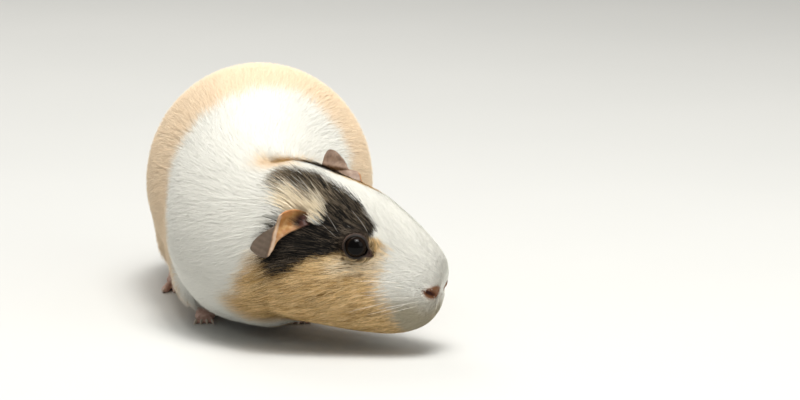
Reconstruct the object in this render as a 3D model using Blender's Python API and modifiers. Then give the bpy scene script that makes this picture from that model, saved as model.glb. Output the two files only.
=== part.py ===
"""A guinea pig crouched on the ground with its head turned to its left, as a life-size still model.

Sizes are in millimetres and become metres when a mesh is made. +Z is up. The trunk lies along Y
with the rump at +Y, the head points towards +X, and the ground is at Z = 0. The solids reach out
to the tips of the coat. The flesh is modelled whole and then parted with thin cuts.
"""

import math
from collections import namedtuple

import bmesh
import bpy
import numpy as np
from mathutils import Matrix, Vector

MM = 0.001
GAP = 0.35  # between pieces that meet
SIDES = {"left": 1, "right": -1}

# ---- neck and trunk: oval rings from inside the head to the tail end
# x, y: the ring's middle in plan; half: half its width; top, bottom: heights above the ground
Ring = namedtuple("Ring", "x y half top bottom")
TRUNK_RINGS = (
    Ring(34, -46, 22, 56, 14),
    Ring(15, -42, 31, 71, 5),
    Ring(2, -22, 35, 79, 4),
    Ring(0, 5, 38, 88, 4),
    Ring(-1, 31, 44, 95, 4),
    Ring(0, 58, 49, 97.5, 4),
    Ring(0, 82, 47, 94, 4),
    Ring(0, 102, 40, 84, 6),
    Ring(0, 117, 30, 68, 12),
    Ring(0, 125, 18, 54, 22),
    Ring(0, 128, 6, 44, 32),
)
TRUNK_PEAR = 0.04  # how much narrower a ring is at its top
MIDDLE_SHARE = 0.48  # a ring is widest at this share of its height

# ---- head: oval rings behind the nose tip, in the head's own frame
# back: distance behind the nose tip; rise, drop: reach above and below the head's axis
HeadRing = namedtuple("HeadRing", "back half rise drop")
HEAD_RINGS = (
    HeadRing(0, 5.5, 5.5, 11),
    HeadRing(1.2, 9, 8.5, 15.5),
    HeadRing(4.5, 12.5, 12, 20),
    HeadRing(10.5, 15.5, 16.5, 24),
    HeadRing(18, 18.5, 21, 26.5),
    HeadRing(25, 21, 24.5, 27.5),
    HeadRing(33, 24, 28, 28.5),
    HeadRing(43, 27.5, 30, 29),
    HeadRing(54, 30, 31, 30),
    HeadRing(65, 31, 32, 30),
    HeadRing(76, 28, 30, 28),
    HeadRing(84, 16, 16, 14),
)
HEAD_PEAR = 0.12
JOWL_FULLNESS = 0.78  # under 1, the rings are squarer below their middle
JOWL_SAG = 5  # how far below the head's axis the rings are widest
NOSE_TIP = Vector((78, -70, 29.5))
HEAD_YAW = -22  # from +X towards -Y, degrees
HEAD_PITCH = -11  # nose down, degrees

# ---- slits for the mouth, the split lip and the nostrils, in the head's frame
MOUTH_AT = (1.5, 0, -9)
MOUTH_RADII = (6, 7.5, 0.6)
LIP_SPLIT_AT = (-1, 0, -5.5)
LIP_SPLIT_RADII = (4, 0.5, 4.5)
NOSTRIL_AT = (1.2, 5.5, -1.5)
NOSTRIL_RADII = (2.4, 2.2, 0.9)

# ---- eyes and ears, in the head's frame: (behind the nose tip, out from the middle, up)
EYE_AT = (31.5, 19.7, 8.5)
EYE_RADIUS = 4.5
EAR_ROOT = (54, 25.5, 15)
EAR_LENGTH = 24.5
EAR_WIDTH = 16.5
EAR_THICK = 1.2
EAR_CUP = 3.2  # depth of the hollow of the ear
EAR_CURL = 8.0  # how far the upper edge rolls over
# droop: below the head's axis; flare: outwards; roll: how far the hollow faces down, in degrees.
# The left ear stands higher, because the shoulder pushes it up.
EarSet = namedtuple("EarSet", "droop flare roll")
EAR_SETS = {"left": EarSet(-42, 26, -10), "right": EarSet(35, 35, -8)}

# ---- limb masses, in the ground frame: (out from the midline, y, z)
HAUNCH_AT = (30, 82, 34)
HAUNCH_RADII = (18.5, 31, 32)
SHOULDER_AT = (22, 6, 35)
SHOULDER_RADII = (16, 21, 31)
FORELEG_AT = (21, 0, 17)
FORELEG_RADII = (8.5, 9.5, 15.5)
# the ovals that part the limbs from the trunk
THIGH_CUT_AT = (46, 84, 26)
THIGH_CUT_RADII = (25, 37, 32)
ARM_CUT_AT = (27, 6, 14)
ARM_CUT_RADII = (17, 18, 22)

# ---- feet: heel place, length, width and number of toes
Foot = namedtuple("Foot", "heel length width height toes splay")
HIND_FOOT = Foot(heel=(36, 84), length=35, width=10.5, height=8, toes=3, splay=12)
FORE_FOOT = Foot(heel=(20, 2), length=15, width=9, height=6.5, toes=4, splay=9)
TOE_SHARE = 0.36  # of a foot's length
CLAW_LENGTH = 4.2
CLAW_RADIUS = 0.85
CLAW_DIP = 14  # downwards, degrees

# ---- the two cuts round the neck: vertical planes that meet beside the left cheek
CUT_HINGE = Vector((66, -8, 0))
HEAD_CUT_TO = Vector((0, -72, 0))
NECK_CUT_TO = Vector((-38, -24, 0))
CUT_REACH = 400

# ---- mesh fineness
CREASE = math.radians(40)
FLESH_VOXEL = 1.6
FLESH_SMOOTHING = 8
FLESH_TRIANGLES = 2800
FOOT_VOXEL = 0.6
FOOT_TRIANGLES = {HIND_FOOT: 360, FORE_FOOT: 280}


# ================================================================ scene and helpers
def clear_scene():
    for old in list(bpy.data.objects):
        bpy.data.objects.remove(old)


def collection(name):
    made = bpy.data.collections.new(name)
    bpy.context.scene.collection.children.link(made)
    return made


def material(name, colour, roughness):
    made = bpy.data.materials.new(name)
    made.use_nodes = True
    shader = made.node_tree.nodes["Principled BSDF"]
    shader.inputs["Base Color"].default_value = (*colour, 1)
    shader.inputs["Roughness"].default_value = roughness
    shader.inputs["Metallic"].default_value = 0
    return made


clear_scene()
ANIMAL = collection("guinea_pig")
HELPERS = collection("helpers")
WHITE_COAT = material("white_coat", (0.86, 0.82, 0.76), 0.8)
BUFF_COAT = material("buff_coat", (0.76, 0.56, 0.36), 0.8)
EAR_SKIN = material("ear_skin", (0.35, 0.22, 0.17), 0.6)
EYE_GLOSS = material("eye", (0.012, 0.01, 0.01), 0.05)
FOOT_SKIN = material("foot_skin", (0.72, 0.48, 0.42), 0.6)
CLAW_HORN = material("claw", (0.75, 0.66, 0.56), 0.4)


def placed_in(home, obj):
    for old in list(obj.users_collection):
        old.objects.unlink(obj)
    home.objects.link(obj)


def helper(obj):
    """Marks an object that shapes others and isn't part of the animal."""
    placed_in(HELPERS, obj)
    obj.hide_render = True
    obj.display_type = "WIRE"
    return obj


def keep(obj, name, finish):
    """Makes obj one of the animal's own pieces."""
    placed_in(ANIMAL, obj)
    obj.name = obj.data.name = name
    obj.hide_render = False
    obj.display_type = "TEXTURED"
    obj.data.materials.clear()
    obj.data.materials.append(finish)
    obj.data.shade_smooth()
    obj.data.set_sharp_from_angle(angle=CREASE)
    return obj


def linked(name, form):
    """A helper object from a bmesh in metres."""
    mesh = bpy.data.meshes.new(name)
    form.to_mesh(mesh)
    form.free()
    obj = bpy.data.objects.new(name, mesh)
    bpy.context.scene.collection.objects.link(obj)
    return helper(obj)


def frame_matrix(centre, turn, sizes):
    """Scales a unit shape to millimetres, turns it and moves it to its place."""
    scale = Matrix.Diagonal((*(s * MM for s in sizes), 1))
    return Matrix.Translation(Vector(centre) * MM) @ turn.to_4x4() @ scale


def ball(name, centre, radii, turn=Matrix.Identity(3), segments=28):
    form = bmesh.new()
    bmesh.ops.create_uvsphere(form, u_segments=segments, v_segments=segments // 2, radius=1)
    bmesh.ops.transform(form, matrix=frame_matrix(centre, turn, radii), verts=form.verts)
    return linked(name, form)


def settled(obj):
    """Gives obj the mesh that its modifiers make, and clears them."""
    graph = bpy.context.evaluated_depsgraph_get()
    obj.data = bpy.data.meshes.new_from_object(obj.evaluated_get(graph))
    obj.modifiers.clear()
    return obj


def joined(name, pieces):
    form = bmesh.new()
    for piece in pieces:
        form.from_mesh(piece.data)
        bpy.data.objects.remove(piece)
    return linked(name, form)


def fused(name, pieces, voxel, smoothing, triangles):
    """One even skin over overlapping pieces, its joins faired and its faces thinned out."""
    obj = joined(name, pieces)
    skin = obj.modifiers.new("skin", "REMESH")
    skin.mode = "VOXEL"
    skin.voxel_size = voxel * MM
    fair = obj.modifiers.new("fair", "SMOOTH")
    fair.factor = 0.5
    fair.iterations = smoothing
    settled(obj)
    faces = sum(len(p.vertices) - 2 for p in obj.data.polygons)
    thin = obj.modifiers.new("thin", "DECIMATE")
    thin.ratio = min(1, triangles / faces)
    return settled(obj)


def cut(obj, cutter):
    """Takes the cutter's space out of obj."""
    away = obj.modifiers.new("cut", "BOOLEAN")
    away.operation = "DIFFERENCE"
    away.object = cutter
    return settled(obj)


def swollen(obj, name):
    """A copy pushed out by the gap, which cuts room for obj in its neighbour."""
    made = bpy.data.objects.new(name, obj.data.copy())
    bpy.context.scene.collection.objects.link(made)
    grow = helper(made).modifiers.new("grow", "DISPLACE")
    grow.mid_level = 0
    grow.strength = GAP * MM
    return settled(made)


def catmull_rom(keys, count):
    """Rows of numbers read at count even steps along a smooth curve through the key rows."""
    rows = np.array(keys, float)
    rows = np.vstack([2 * rows[0] - rows[1], rows, 2 * rows[-1] - rows[-2]])
    read = []
    for t in np.linspace(0, len(keys) - 1, count):
        i = min(int(t), len(keys) - 2)
        a, b, c, d = rows[i : i + 4]
        f = t - i
        bend = (2 * a - 5 * b + 4 * c - d) * f**2 + (3 * b - a - 3 * c + d) * f**3
        read.append(b + 0.5 * ((c - a) * f + bend))
    return np.array(read)


def oval(middle, across, up, half, rise, drop, pear, fullness=1, sides=36):
    """A ring with its own reach up and down, which narrows towards its top."""
    points = []
    for k in range(sides):
        angle = 2 * math.pi * k / sides
        height, side = math.sin(angle), math.cos(angle)
        if height < 0:
            side = math.copysign(abs(side) ** fullness, side)
        width = side * half * (1 - pear * height)
        points.append(middle + across * width + up * (height * (rise if height > 0 else drop)))
    return points


def loft(name, rings):
    """A closed skin over rings that have equal numbers of points."""
    form = bmesh.new()
    rows = [[form.verts.new(point * MM) for point in ring] for ring in rings]
    for row, following in zip(rows, rows[1:]):
        for k, vertex in enumerate(row):
            form.faces.new((row[k - 1], vertex, following[k], following[k - 1]))
    form.faces.new(rows[0])
    form.faces.new(rows[-1])
    bmesh.ops.recalc_face_normals(form, faces=form.faces)
    return linked(name, form)


# ================================================================ the head's frame
HEAD_TURN = Matrix.Rotation(math.radians(HEAD_YAW), 3, "Z") @ Matrix.Rotation(
    math.radians(-HEAD_PITCH), 3, "Y"
)
AHEAD, HEAD_LEFT, HEAD_UP = (HEAD_TURN.col[i] for i in range(3))


def on_head(back, out, up):
    """A place behind the nose tip, towards the animal's left and above the head's axis."""
    return NOSE_TIP - AHEAD * back + HEAD_LEFT * out + HEAD_UP * up


# ================================================================ flesh
def head_form():
    rings = []
    for back, half, rise, drop in catmull_rom(HEAD_RINGS, 44):
        sag = JOWL_SAG * min(back / 24, 1)
        shape = (half, rise + sag, drop - sag, HEAD_PEAR, JOWL_FULLNESS)
        rings.append(oval(on_head(back, 0, -sag), HEAD_LEFT, HEAD_UP, *shape))
    return loft("head_form", rings)


def trunk_form():
    rows = catmull_rom(TRUNK_RINGS, 48)
    headings = np.gradient(rows[:, :2], axis=0)
    rings = []
    for (x, y, half, top, bottom), (along_x, along_y) in zip(rows, headings):
        level = bottom + (top - bottom) * MIDDLE_SHARE
        across = Vector((along_y, -along_x, 0)).normalized()
        shape = (half, top - level, level - bottom, TRUNK_PEAR)
        rings.append(oval(Vector((x, y, level)), across, Vector((0, 0, 1)), *shape))
    return loft("trunk_form", rings)


def mirrored(place, sign):
    out, y, z = place
    return (sign * out, y, z)


def limb_forms():
    masses = {
        "haunch": (HAUNCH_AT, HAUNCH_RADII),
        "shoulder": (SHOULDER_AT, SHOULDER_RADII),
        "foreleg": (FORELEG_AT, FORELEG_RADII),
    }
    return [
        ball(f"{name}_form_{side}", mirrored(place, sign), radii)
        for side, sign in SIDES.items()
        for name, (place, radii) in masses.items()
    ]


# ================================================================ feet and claws
def toe_turns(foot, sign):
    """Each toe's angle from straight ahead, in degrees, from the innermost out."""
    middle = (foot.toes - 1) / 2
    return [sign * (k - middle) * foot.splay for k in range(foot.toes)]


def toe_line(foot, sign, turn):
    """Where a toe starts and ends on the ground, and its heading."""
    heel = Vector((sign * foot.heel[0], foot.heel[1], 0))
    angle = math.radians(turn)
    heading = Vector((math.sin(angle), -math.cos(angle), 0))
    palm = heel + Vector((0, -1, 0)) * foot.length * (1 - TOE_SHARE) + heading * 0
    start = palm + Vector((math.sin(angle) * foot.width * 0.9, 0, 0))
    return start, start + heading * foot.length * TOE_SHARE, heading


def yaw_to(heading):
    return Matrix.Rotation(math.atan2(heading.y, heading.x), 3, "Z")


def foot_piece(name, foot, sign):
    """A sole with toes, cut flat where it stands on the ground."""
    x, y = sign * foot.heel[0], foot.heel[1]
    sole = (1 - TOE_SHARE) * foot.length
    tall = foot.height / 2
    forms = [
        ball("sole", (x, y - sole * 0.5, tall * 0.8), (foot.width * 0.46, sole * 0.62, tall)),
        ball("ankle", (x, y - sole * 0.2, tall * 1.2), (foot.width * 0.42, sole * 0.34, tall * 1.1)),
    ]
    for turn in toe_turns(foot, sign):
        start, end, heading = toe_line(foot, sign, turn)
        radius = foot.width / foot.toes * 0.52
        middle = (start + end) / 2 + Vector((0, 0, radius * 0.7))
        reach = (end - start).length / 2 + radius
        forms.append(ball("toe", middle, (reach, radius, radius * 1.15), yaw_to(heading)))
    made = fused(name, forms, FOOT_VOXEL, 2, FOOT_TRIANGLES[foot])
    form = bmesh.new()
    form.from_mesh(made.data)
    ground = dict(plane_co=(0, 0, 0), plane_no=(0, 0, 1), clear_inner=True)
    sliced = bmesh.ops.bisect_plane(form, geom=form.verts[:] + form.edges[:] + form.faces[:], **ground)
    rim = [e for e in sliced["geom_cut"] if isinstance(e, bmesh.types.BMEdge)]
    bmesh.ops.holes_fill(form, edges=rim)
    form.to_mesh(made.data)
    form.free()
    return keep(made, name, FOOT_SKIN)


def claw_piece(name, tip, heading, radius_of_toe):
    """A horn cone that carries on from the end of a toe."""
    dip = Matrix.Rotation(math.radians(CLAW_DIP), 3, "Y")
    turn = yaw_to(heading) @ dip @ Matrix.Rotation(math.radians(90), 3, "Y")
    start = tip + heading * (radius_of_toe + GAP + 0.25) + Vector((0, 0, radius_of_toe * 1.1))
    middle = start + turn @ Vector((0, 0, CLAW_LENGTH / 2))
    form = bmesh.new()
    bmesh.ops.create_cone(form, cap_ends=True, segments=6, radius1=1, radius2=0.2, depth=1)
    sizes = (CLAW_RADIUS * 0.8, CLAW_RADIUS, CLAW_LENGTH)
    bmesh.ops.transform(form, matrix=frame_matrix(middle, turn, sizes), verts=form.verts)
    return keep(linked(name, form), name, CLAW_HORN)


def feet_and_claws():
    feet = []
    for side, sign in SIDES.items():
        for kind, foot in (("fore", FORE_FOOT), ("hind", HIND_FOOT)):
            feet.append(foot_piece(f"{kind}foot_{side}", foot, sign))
            for k, turn in enumerate(toe_turns(foot, sign), 1):
                _, end, heading = toe_line(foot, sign, turn)
                radius = foot.width / foot.toes * 0.52
                claw_piece(f"claw_{kind}_{side}_{k}", end, heading, radius)
    return feet


# ================================================================ ears and eyes
def ear_piece(side, sign, flesh_room):
    """A drooping petal with a cupped face and a rolled upper edge, cut off where it meets the head."""
    droop, flare, roll = (math.radians(angle) for angle in EAR_SETS[side])
    along = -AHEAD * math.cos(droop) - HEAD_UP * math.sin(droop)
    outward = HEAD_LEFT * sign
    along = (along * math.cos(flare) + outward * math.sin(flare)).normalized()
    face = (outward - along * outward.dot(along)).normalized()
    across = along.cross(face) * sign  # towards the ear's upper edge
    if across.dot(HEAD_UP) < 0:
        across = -across
    face, across = (
        face * math.cos(roll) - across * math.sin(roll),
        across * math.cos(roll) + face * math.sin(roll),
    )
    root = on_head(EAR_ROOT[0], sign * EAR_ROOT[1], EAR_ROOT[2])
    form = bmesh.new()
    steps, ribs = 9, 8
    grid = []
    for i in range(steps + 1):
        t = i / steps
        half = EAR_WIDTH / 2 * (0.62 + 0.62 * math.sin(math.pi * min(t * 0.86 + 0.05, 1)) - 0.24 * t)
        half *= math.sqrt(max(1 - t**5, 0.03))
        row = []
        for j in range(ribs + 1):
            s = 2 * j / ribs - 1
            hollow = -EAR_CUP * (1 - s * s) * math.sin(math.pi * min(t + 0.2, 1) * 0.9)
            curl = EAR_CURL * max(s - 0.45, 0) ** 1.5 * (1 - t)
            middle = root + along * (EAR_LENGTH * (t - 0.12))
            place = middle + across * (half * s) + face * (hollow + curl)
            row.append(form.verts.new(place * MM))
        grid.append(row)
    for low, high in zip(grid, grid[1:]):
        for j in range(ribs):
            form.faces.new((low[j], low[j + 1], high[j + 1], high[j]))
    made = linked(f"ear_form_{side}", form)
    wall = made.modifiers.new("wall", "SOLIDIFY")
    wall.thickness = EAR_THICK * MM
    wall.offset = 0
    settled(made)
    solid = bmesh.new()
    solid.from_mesh(made.data)
    bmesh.ops.recalc_face_normals(solid, faces=solid.faces)
    solid.to_mesh(made.data)
    solid.free()
    return keep(cut(made, flesh_room), f"ear_{side}", EAR_SKIN)


def muzzle_slits():
    """The cutters for the mouth, the split of the upper lip and both nostrils."""
    back, out, up = NOSTRIL_AT
    slits = [
        ("mouth", MOUTH_AT, MOUTH_RADII),
        ("lip_split", LIP_SPLIT_AT, LIP_SPLIT_RADII),
        ("nostril_left", (back, out, up), NOSTRIL_RADII),
        ("nostril_right", (back, -out, up), NOSTRIL_RADII),
    ]
    return [ball(name, on_head(*at), radii, HEAD_TURN, segments=12) for name, at, radii in slits]


def eye_piece(side, sign):
    place = on_head(EYE_AT[0], sign * EYE_AT[1], EYE_AT[2])
    return keep(ball(f"eye_{side}", place, (EYE_RADIUS,) * 3, segments=16), f"eye_{side}", EYE_GLOSS)


# ================================================================ thin cuts
def thin_wall(name, start, end):
    """A tall vertical sheet as thick as the gap, through two points of the plan."""
    heading = (end - start).normalized()
    form = bmesh.new()
    bmesh.ops.create_cube(form, size=1)
    sizes = (CUT_REACH, GAP, CUT_REACH)
    matrix = frame_matrix((start + end) / 2, yaw_to(heading), sizes)
    bmesh.ops.transform(form, matrix=matrix, verts=form.verts)
    return linked(name, form)


def thin_shell(name, place, radii):
    """An egg shell as thick as the gap."""
    outer = ball("outer", place, radii, segments=16)
    inner = ball("inner", place, [r - GAP for r in radii], segments=16)
    inner.data.flip_normals()
    return joined(name, [outer, inner])


def part_flesh(flesh):
    """Cuts the flesh into its named pieces and returns them."""
    cut(flesh, thin_wall("head_cut", CUT_HINGE, HEAD_CUT_TO))
    cut(flesh, thin_wall("neck_cut", CUT_HINGE, NECK_CUT_TO))
    landmarks = {
        "head": on_head(40, 0, 0),
        "neck": Vector((0, -40, 40)),
        "trunk": Vector((0, 60, 50)),
    }
    for side, sign in SIDES.items():
        for name, place, radii in (
            ("thigh", THIGH_CUT_AT, THIGH_CUT_RADII),
            ("foreleg", ARM_CUT_AT, ARM_CUT_RADII),
        ):
            at = mirrored(place, sign)
            cut(flesh, thin_shell(f"{name}_cut_{side}", at, radii))
            landmarks[f"{name}_{side}"] = Vector(at) - Vector((sign * 6, 0, 0))
    flesh.select_set(True)
    bpy.context.view_layer.objects.active = flesh
    bpy.ops.mesh.separate(type="LOOSE")
    pieces = list(bpy.context.selected_objects)
    for name, landmark in landmarks.items():
        nearest = min(pieces, key=lambda piece: (middle_of(piece) - landmark * MM).length)
        pieces.remove(nearest)
        keep(nearest, name, BUFF_COAT if name == "head" else WHITE_COAT)
    for crumb in pieces:
        print("crumb", crumb.name, len(crumb.data.vertices), middle_of(crumb) / MM)
        bpy.data.objects.remove(crumb)


def centre_on_origin():
    """Moves the animal in plan until the middle of its box is over the origin."""
    corners = [Vector(corner) for obj in ANIMAL.objects for corner in obj.bound_box]
    middle = [(min(c[k] for c in corners) + max(c[k] for c in corners)) / 2 for k in (0, 1)]
    for obj in ANIMAL.objects:
        obj.data.transform(Matrix.Translation((-middle[0], -middle[1], 0)))
    print("moved by", *(round(-m / MM, 2) for m in middle))


def middle_of(obj):
    corners = [Vector(corner) for corner in obj.bound_box]
    return sum(corners, Vector()) / len(corners)


# ================================================================ making the animal
flesh = fused(
    "flesh", [head_form(), trunk_form(), *limb_forms()], FLESH_VOXEL, FLESH_SMOOTHING, FLESH_TRIANGLES
)
ear_room = swollen(flesh, "ear_room")
for side, sign in SIDES.items():
    ear_piece(side, sign, ear_room)
    cut(flesh, swollen(eye_piece(side, sign), f"socket_{side}"))
for slit in muzzle_slits():
    cut(flesh, slit)
for foot in feet_and_claws():
    cut(flesh, swollen(foot, f"room_for_{foot.name}"))
part_flesh(flesh)
centre_on_origin()
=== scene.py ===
# %% [markdown]
# # A guinea pig at life size
#
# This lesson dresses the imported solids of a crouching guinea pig. It makes one skin over the
# flesh, sculpts the eyelids and the nose into it, adds eyes, ears, feet, claws and whiskers, and
# grows the coat with Geometry Nodes. Every number in metres is in the frame of the solids, with
# +Z up and the floor at 0. The word "left" is the animal's own left.

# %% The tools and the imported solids
import math
from collections import namedtuple

import bmesh
import bpy
import numpy as np
from mathutils import Matrix, Vector


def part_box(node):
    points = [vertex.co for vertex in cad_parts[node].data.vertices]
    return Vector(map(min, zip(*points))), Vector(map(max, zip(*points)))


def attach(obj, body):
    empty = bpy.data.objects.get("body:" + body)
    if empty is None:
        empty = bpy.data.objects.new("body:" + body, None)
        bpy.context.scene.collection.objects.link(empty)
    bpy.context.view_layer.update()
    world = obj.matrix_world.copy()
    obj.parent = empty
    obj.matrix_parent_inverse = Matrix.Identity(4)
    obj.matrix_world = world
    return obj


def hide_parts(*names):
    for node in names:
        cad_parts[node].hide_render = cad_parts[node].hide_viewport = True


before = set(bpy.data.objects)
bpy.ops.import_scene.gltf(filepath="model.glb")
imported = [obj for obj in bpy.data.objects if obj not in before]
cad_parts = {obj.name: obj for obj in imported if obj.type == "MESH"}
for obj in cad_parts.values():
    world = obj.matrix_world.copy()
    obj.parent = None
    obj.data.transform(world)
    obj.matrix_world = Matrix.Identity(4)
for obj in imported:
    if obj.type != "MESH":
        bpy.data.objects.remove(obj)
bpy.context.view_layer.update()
MM = 0.001
SIDES = {"left": 1, "right": -1}
UP = Vector((0, 0, 1))

# %% [markdown]
# ## The head's own frame
#
# The head is turned and dips towards the floor, so its parts are easier to place in a frame of
# its own: how far behind the tip of the nose, how far out to the animal's left, and how far up.
# The line through both eyes gives its sideways direction. The dip is one angle.

# %% Nose tip and directions, from the eyes
HEAD_DIP = math.radians(11)
EYES_BEHIND_NOSE = 31.5 * MM
EYES_OVER_NOSE = 8.5 * MM


def box_middle(node):
    low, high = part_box(node)
    return (low + high) / 2


EYE_MIDDLE = {side: box_middle(f"eye_{side}") for side in SIDES}
HEAD_LEFT = (EYE_MIDDLE["left"] - EYE_MIDDLE["right"]).normalized()
LEVEL_AHEAD = HEAD_LEFT.cross(UP).normalized()
AHEAD = LEVEL_AHEAD * math.cos(HEAD_DIP) - UP * math.sin(HEAD_DIP)
HEAD_UP = AHEAD.cross(HEAD_LEFT)
NOSE_TIP = (
    (EYE_MIDDLE["left"] + EYE_MIDDLE["right"]) / 2
    + AHEAD * EYES_BEHIND_NOSE
    - HEAD_UP * EYES_OVER_NOSE
)
HEAD_AXES = np.array([-AHEAD, HEAD_LEFT, HEAD_UP])  # rows: back, out, up
EYE_LIFT = 0.9 * MM  # the modelled eye sits this much higher than its solid
for side in SIDES:
    EYE_MIDDLE[side] = EYE_MIDDLE[side] + HEAD_UP * EYE_LIFT


def on_head(back, out, up):
    """The place so many millimetres behind the nose tip, to the left and up."""
    return NOSE_TIP + (HEAD_LEFT * out + HEAD_UP * up - AHEAD * back) * MM


def head_places(points):
    """Points as rows of back, out and up, in millimetres."""
    return (points - np.array(NOSE_TIP)) @ HEAD_AXES.T / MM


print("nose tip at", NOSE_TIP, "heading", AHEAD)

# %% [markdown]
# ## Camera and light
#
# A small animal is looked at from a little above, through a long lens, which keeps the nose from
# looking too large. A broad soft light from the upper left stands for an open sky, and a weak one
# from the right keeps the shaded cheek readable. A small lamp beside the sky gives each eye its
# bright spot, and one behind the animal draws the edge of its back.

# %% Camera
CAMERA_PITCH = math.radians(10)
CAMERA_DISTANCE = 1.3
SENSOR_WIDTH = 36
VIEW_WIDTH = 0.32
AIM_ON_FLOOR = Vector((0.0449, -0.0717, 0))
AIM_RISE = 0.0572

camera_up = Vector((0, math.sin(CAMERA_PITCH), math.cos(CAMERA_PITCH)))
camera_back = Vector((0, -math.cos(CAMERA_PITCH), math.sin(CAMERA_PITCH)))
camera = bpy.data.objects.new("camera", bpy.data.cameras.new("camera"))
bpy.context.scene.collection.objects.link(camera)
camera.location = AIM_ON_FLOOR + camera_up * AIM_RISE + camera_back * CAMERA_DISTANCE
camera.rotation_euler = (-camera_back).to_track_quat("-Z", "Y").to_euler()
camera.data.sensor_width = SENSOR_WIDTH
camera.data.lens = SENSOR_WIDTH * CAMERA_DISTANCE / VIEW_WIDTH
camera.data.clip_start = 0.01
bpy.context.scene.camera = camera
print("camera at", camera.location, "lens", round(camera.data.lens, 2))

# %% Lights
Lamp = namedtuple("Lamp", "name place size power colour")
LAMPS = (
    Lamp("sky", (0.12, -0.42, 1.5), 0.95, 23, (1.0, 0.985, 0.95)),
    Lamp("fill", (1.2, -1.0, 0.9), 1.2, 6.5, (1.0, 0.98, 0.94)),
    Lamp("catch", (0.11, -0.38, 1.36), 0.30, 6.3, (1.0, 0.99, 0.97)),
    Lamp("rim", (-0.5, 1.1, 1.1), 0.8, 7, (1.0, 0.98, 0.94)),
)
LAMP_AIM = Vector((0, 0, 0.04))
WORLD_COLOUR = (1.0, 0.985, 0.95, 1)
WORLD_STRENGTH = 0.30

for lamp in LAMPS:
    light = bpy.data.objects.new(lamp.name, bpy.data.lights.new(lamp.name, "AREA"))
    bpy.context.scene.collection.objects.link(light)
    light.data.size = lamp.size
    light.data.energy = lamp.power
    light.data.color = lamp.colour
    light.location = lamp.place
    light.rotation_euler = (LAMP_AIM - light.location).to_track_quat("-Z", "Y").to_euler()

world = bpy.data.worlds.new("studio")
bpy.context.scene.world = world
world.use_nodes = True
air = world.node_tree.nodes["Background"].inputs
air["Color"].default_value = WORLD_COLOUR
air["Strength"].default_value = WORLD_STRENGTH
bpy.context.scene.view_settings.view_transform = "Standard"
print("lamps:", [lamp.name for lamp in LAMPS])

# %% [markdown]
# ## A small language for nodes
#
# A material or a Geometry Nodes tree is a formula drawn as boxes. Written as Python sums it is
# easier to read, so one small class wraps a socket and lets +, -, * and / add the box that does
# the sum. Numbers go through Math, vectors through Vector Math, and every other box comes from
# one method, node().


# %% Sockets as Python values
class Wire:
    """An output socket that takes part in sums."""

    def __init__(self, graph, socket):
        self.graph = graph
        self.socket = socket

    @property
    def is_vector(self):
        return self.socket.type in ("VECTOR", "RGBA")

    def sum_with(self, operation, a, b):
        """One Math or Vector Math box over a and b."""
        vectors = [getattr(term, "is_vector", isinstance(term, (tuple, Vector))) for term in (a, b)]
        if not any(vectors):
            return self.graph.math(operation, a, b)
        if operation == "MULTIPLY" and vectors != [True, True]:
            vector, number = (a, b) if vectors[0] else (b, a)
            return self.graph.vector_math("SCALE", vector, scale=number)
        return self.graph.vector_math(operation, a, b)

    def __pow__(self, other):
        return self.graph.math("POWER", self, other)

    def __abs__(self):
        return self.graph.math("ABSOLUTE", self)

    def dot(self, other):
        return self.graph.vector_math("DOT_PRODUCT", self, other, out="Value")

    def cross(self, other):
        return self.graph.vector_math("CROSS_PRODUCT", self, other)

    def unit(self):
        return self.graph.vector_math("NORMALIZE", self)

    def step(self, low, high):
        """0 below low and 1 above high, with a soft rise between. High may be under low."""
        if low > high:
            return 1 - self.step(high, low)
        settings = dict(interpolation_type="SMOOTHSTEP")
        return self.graph.node("ShaderNodeMapRange", settings, Value=self, From_Min=low, From_Max=high)


SIGNS = {"add": "ADD", "sub": "SUBTRACT", "mul": "MULTIPLY", "truediv": "DIVIDE"}
for sign, operation in SIGNS.items():
    setattr(Wire, f"__{sign}__", lambda a, b, kind=operation: a.sum_with(kind, a, b))
    setattr(Wire, f"__r{sign}__", lambda a, b, kind=operation: a.sum_with(kind, b, a))


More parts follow.
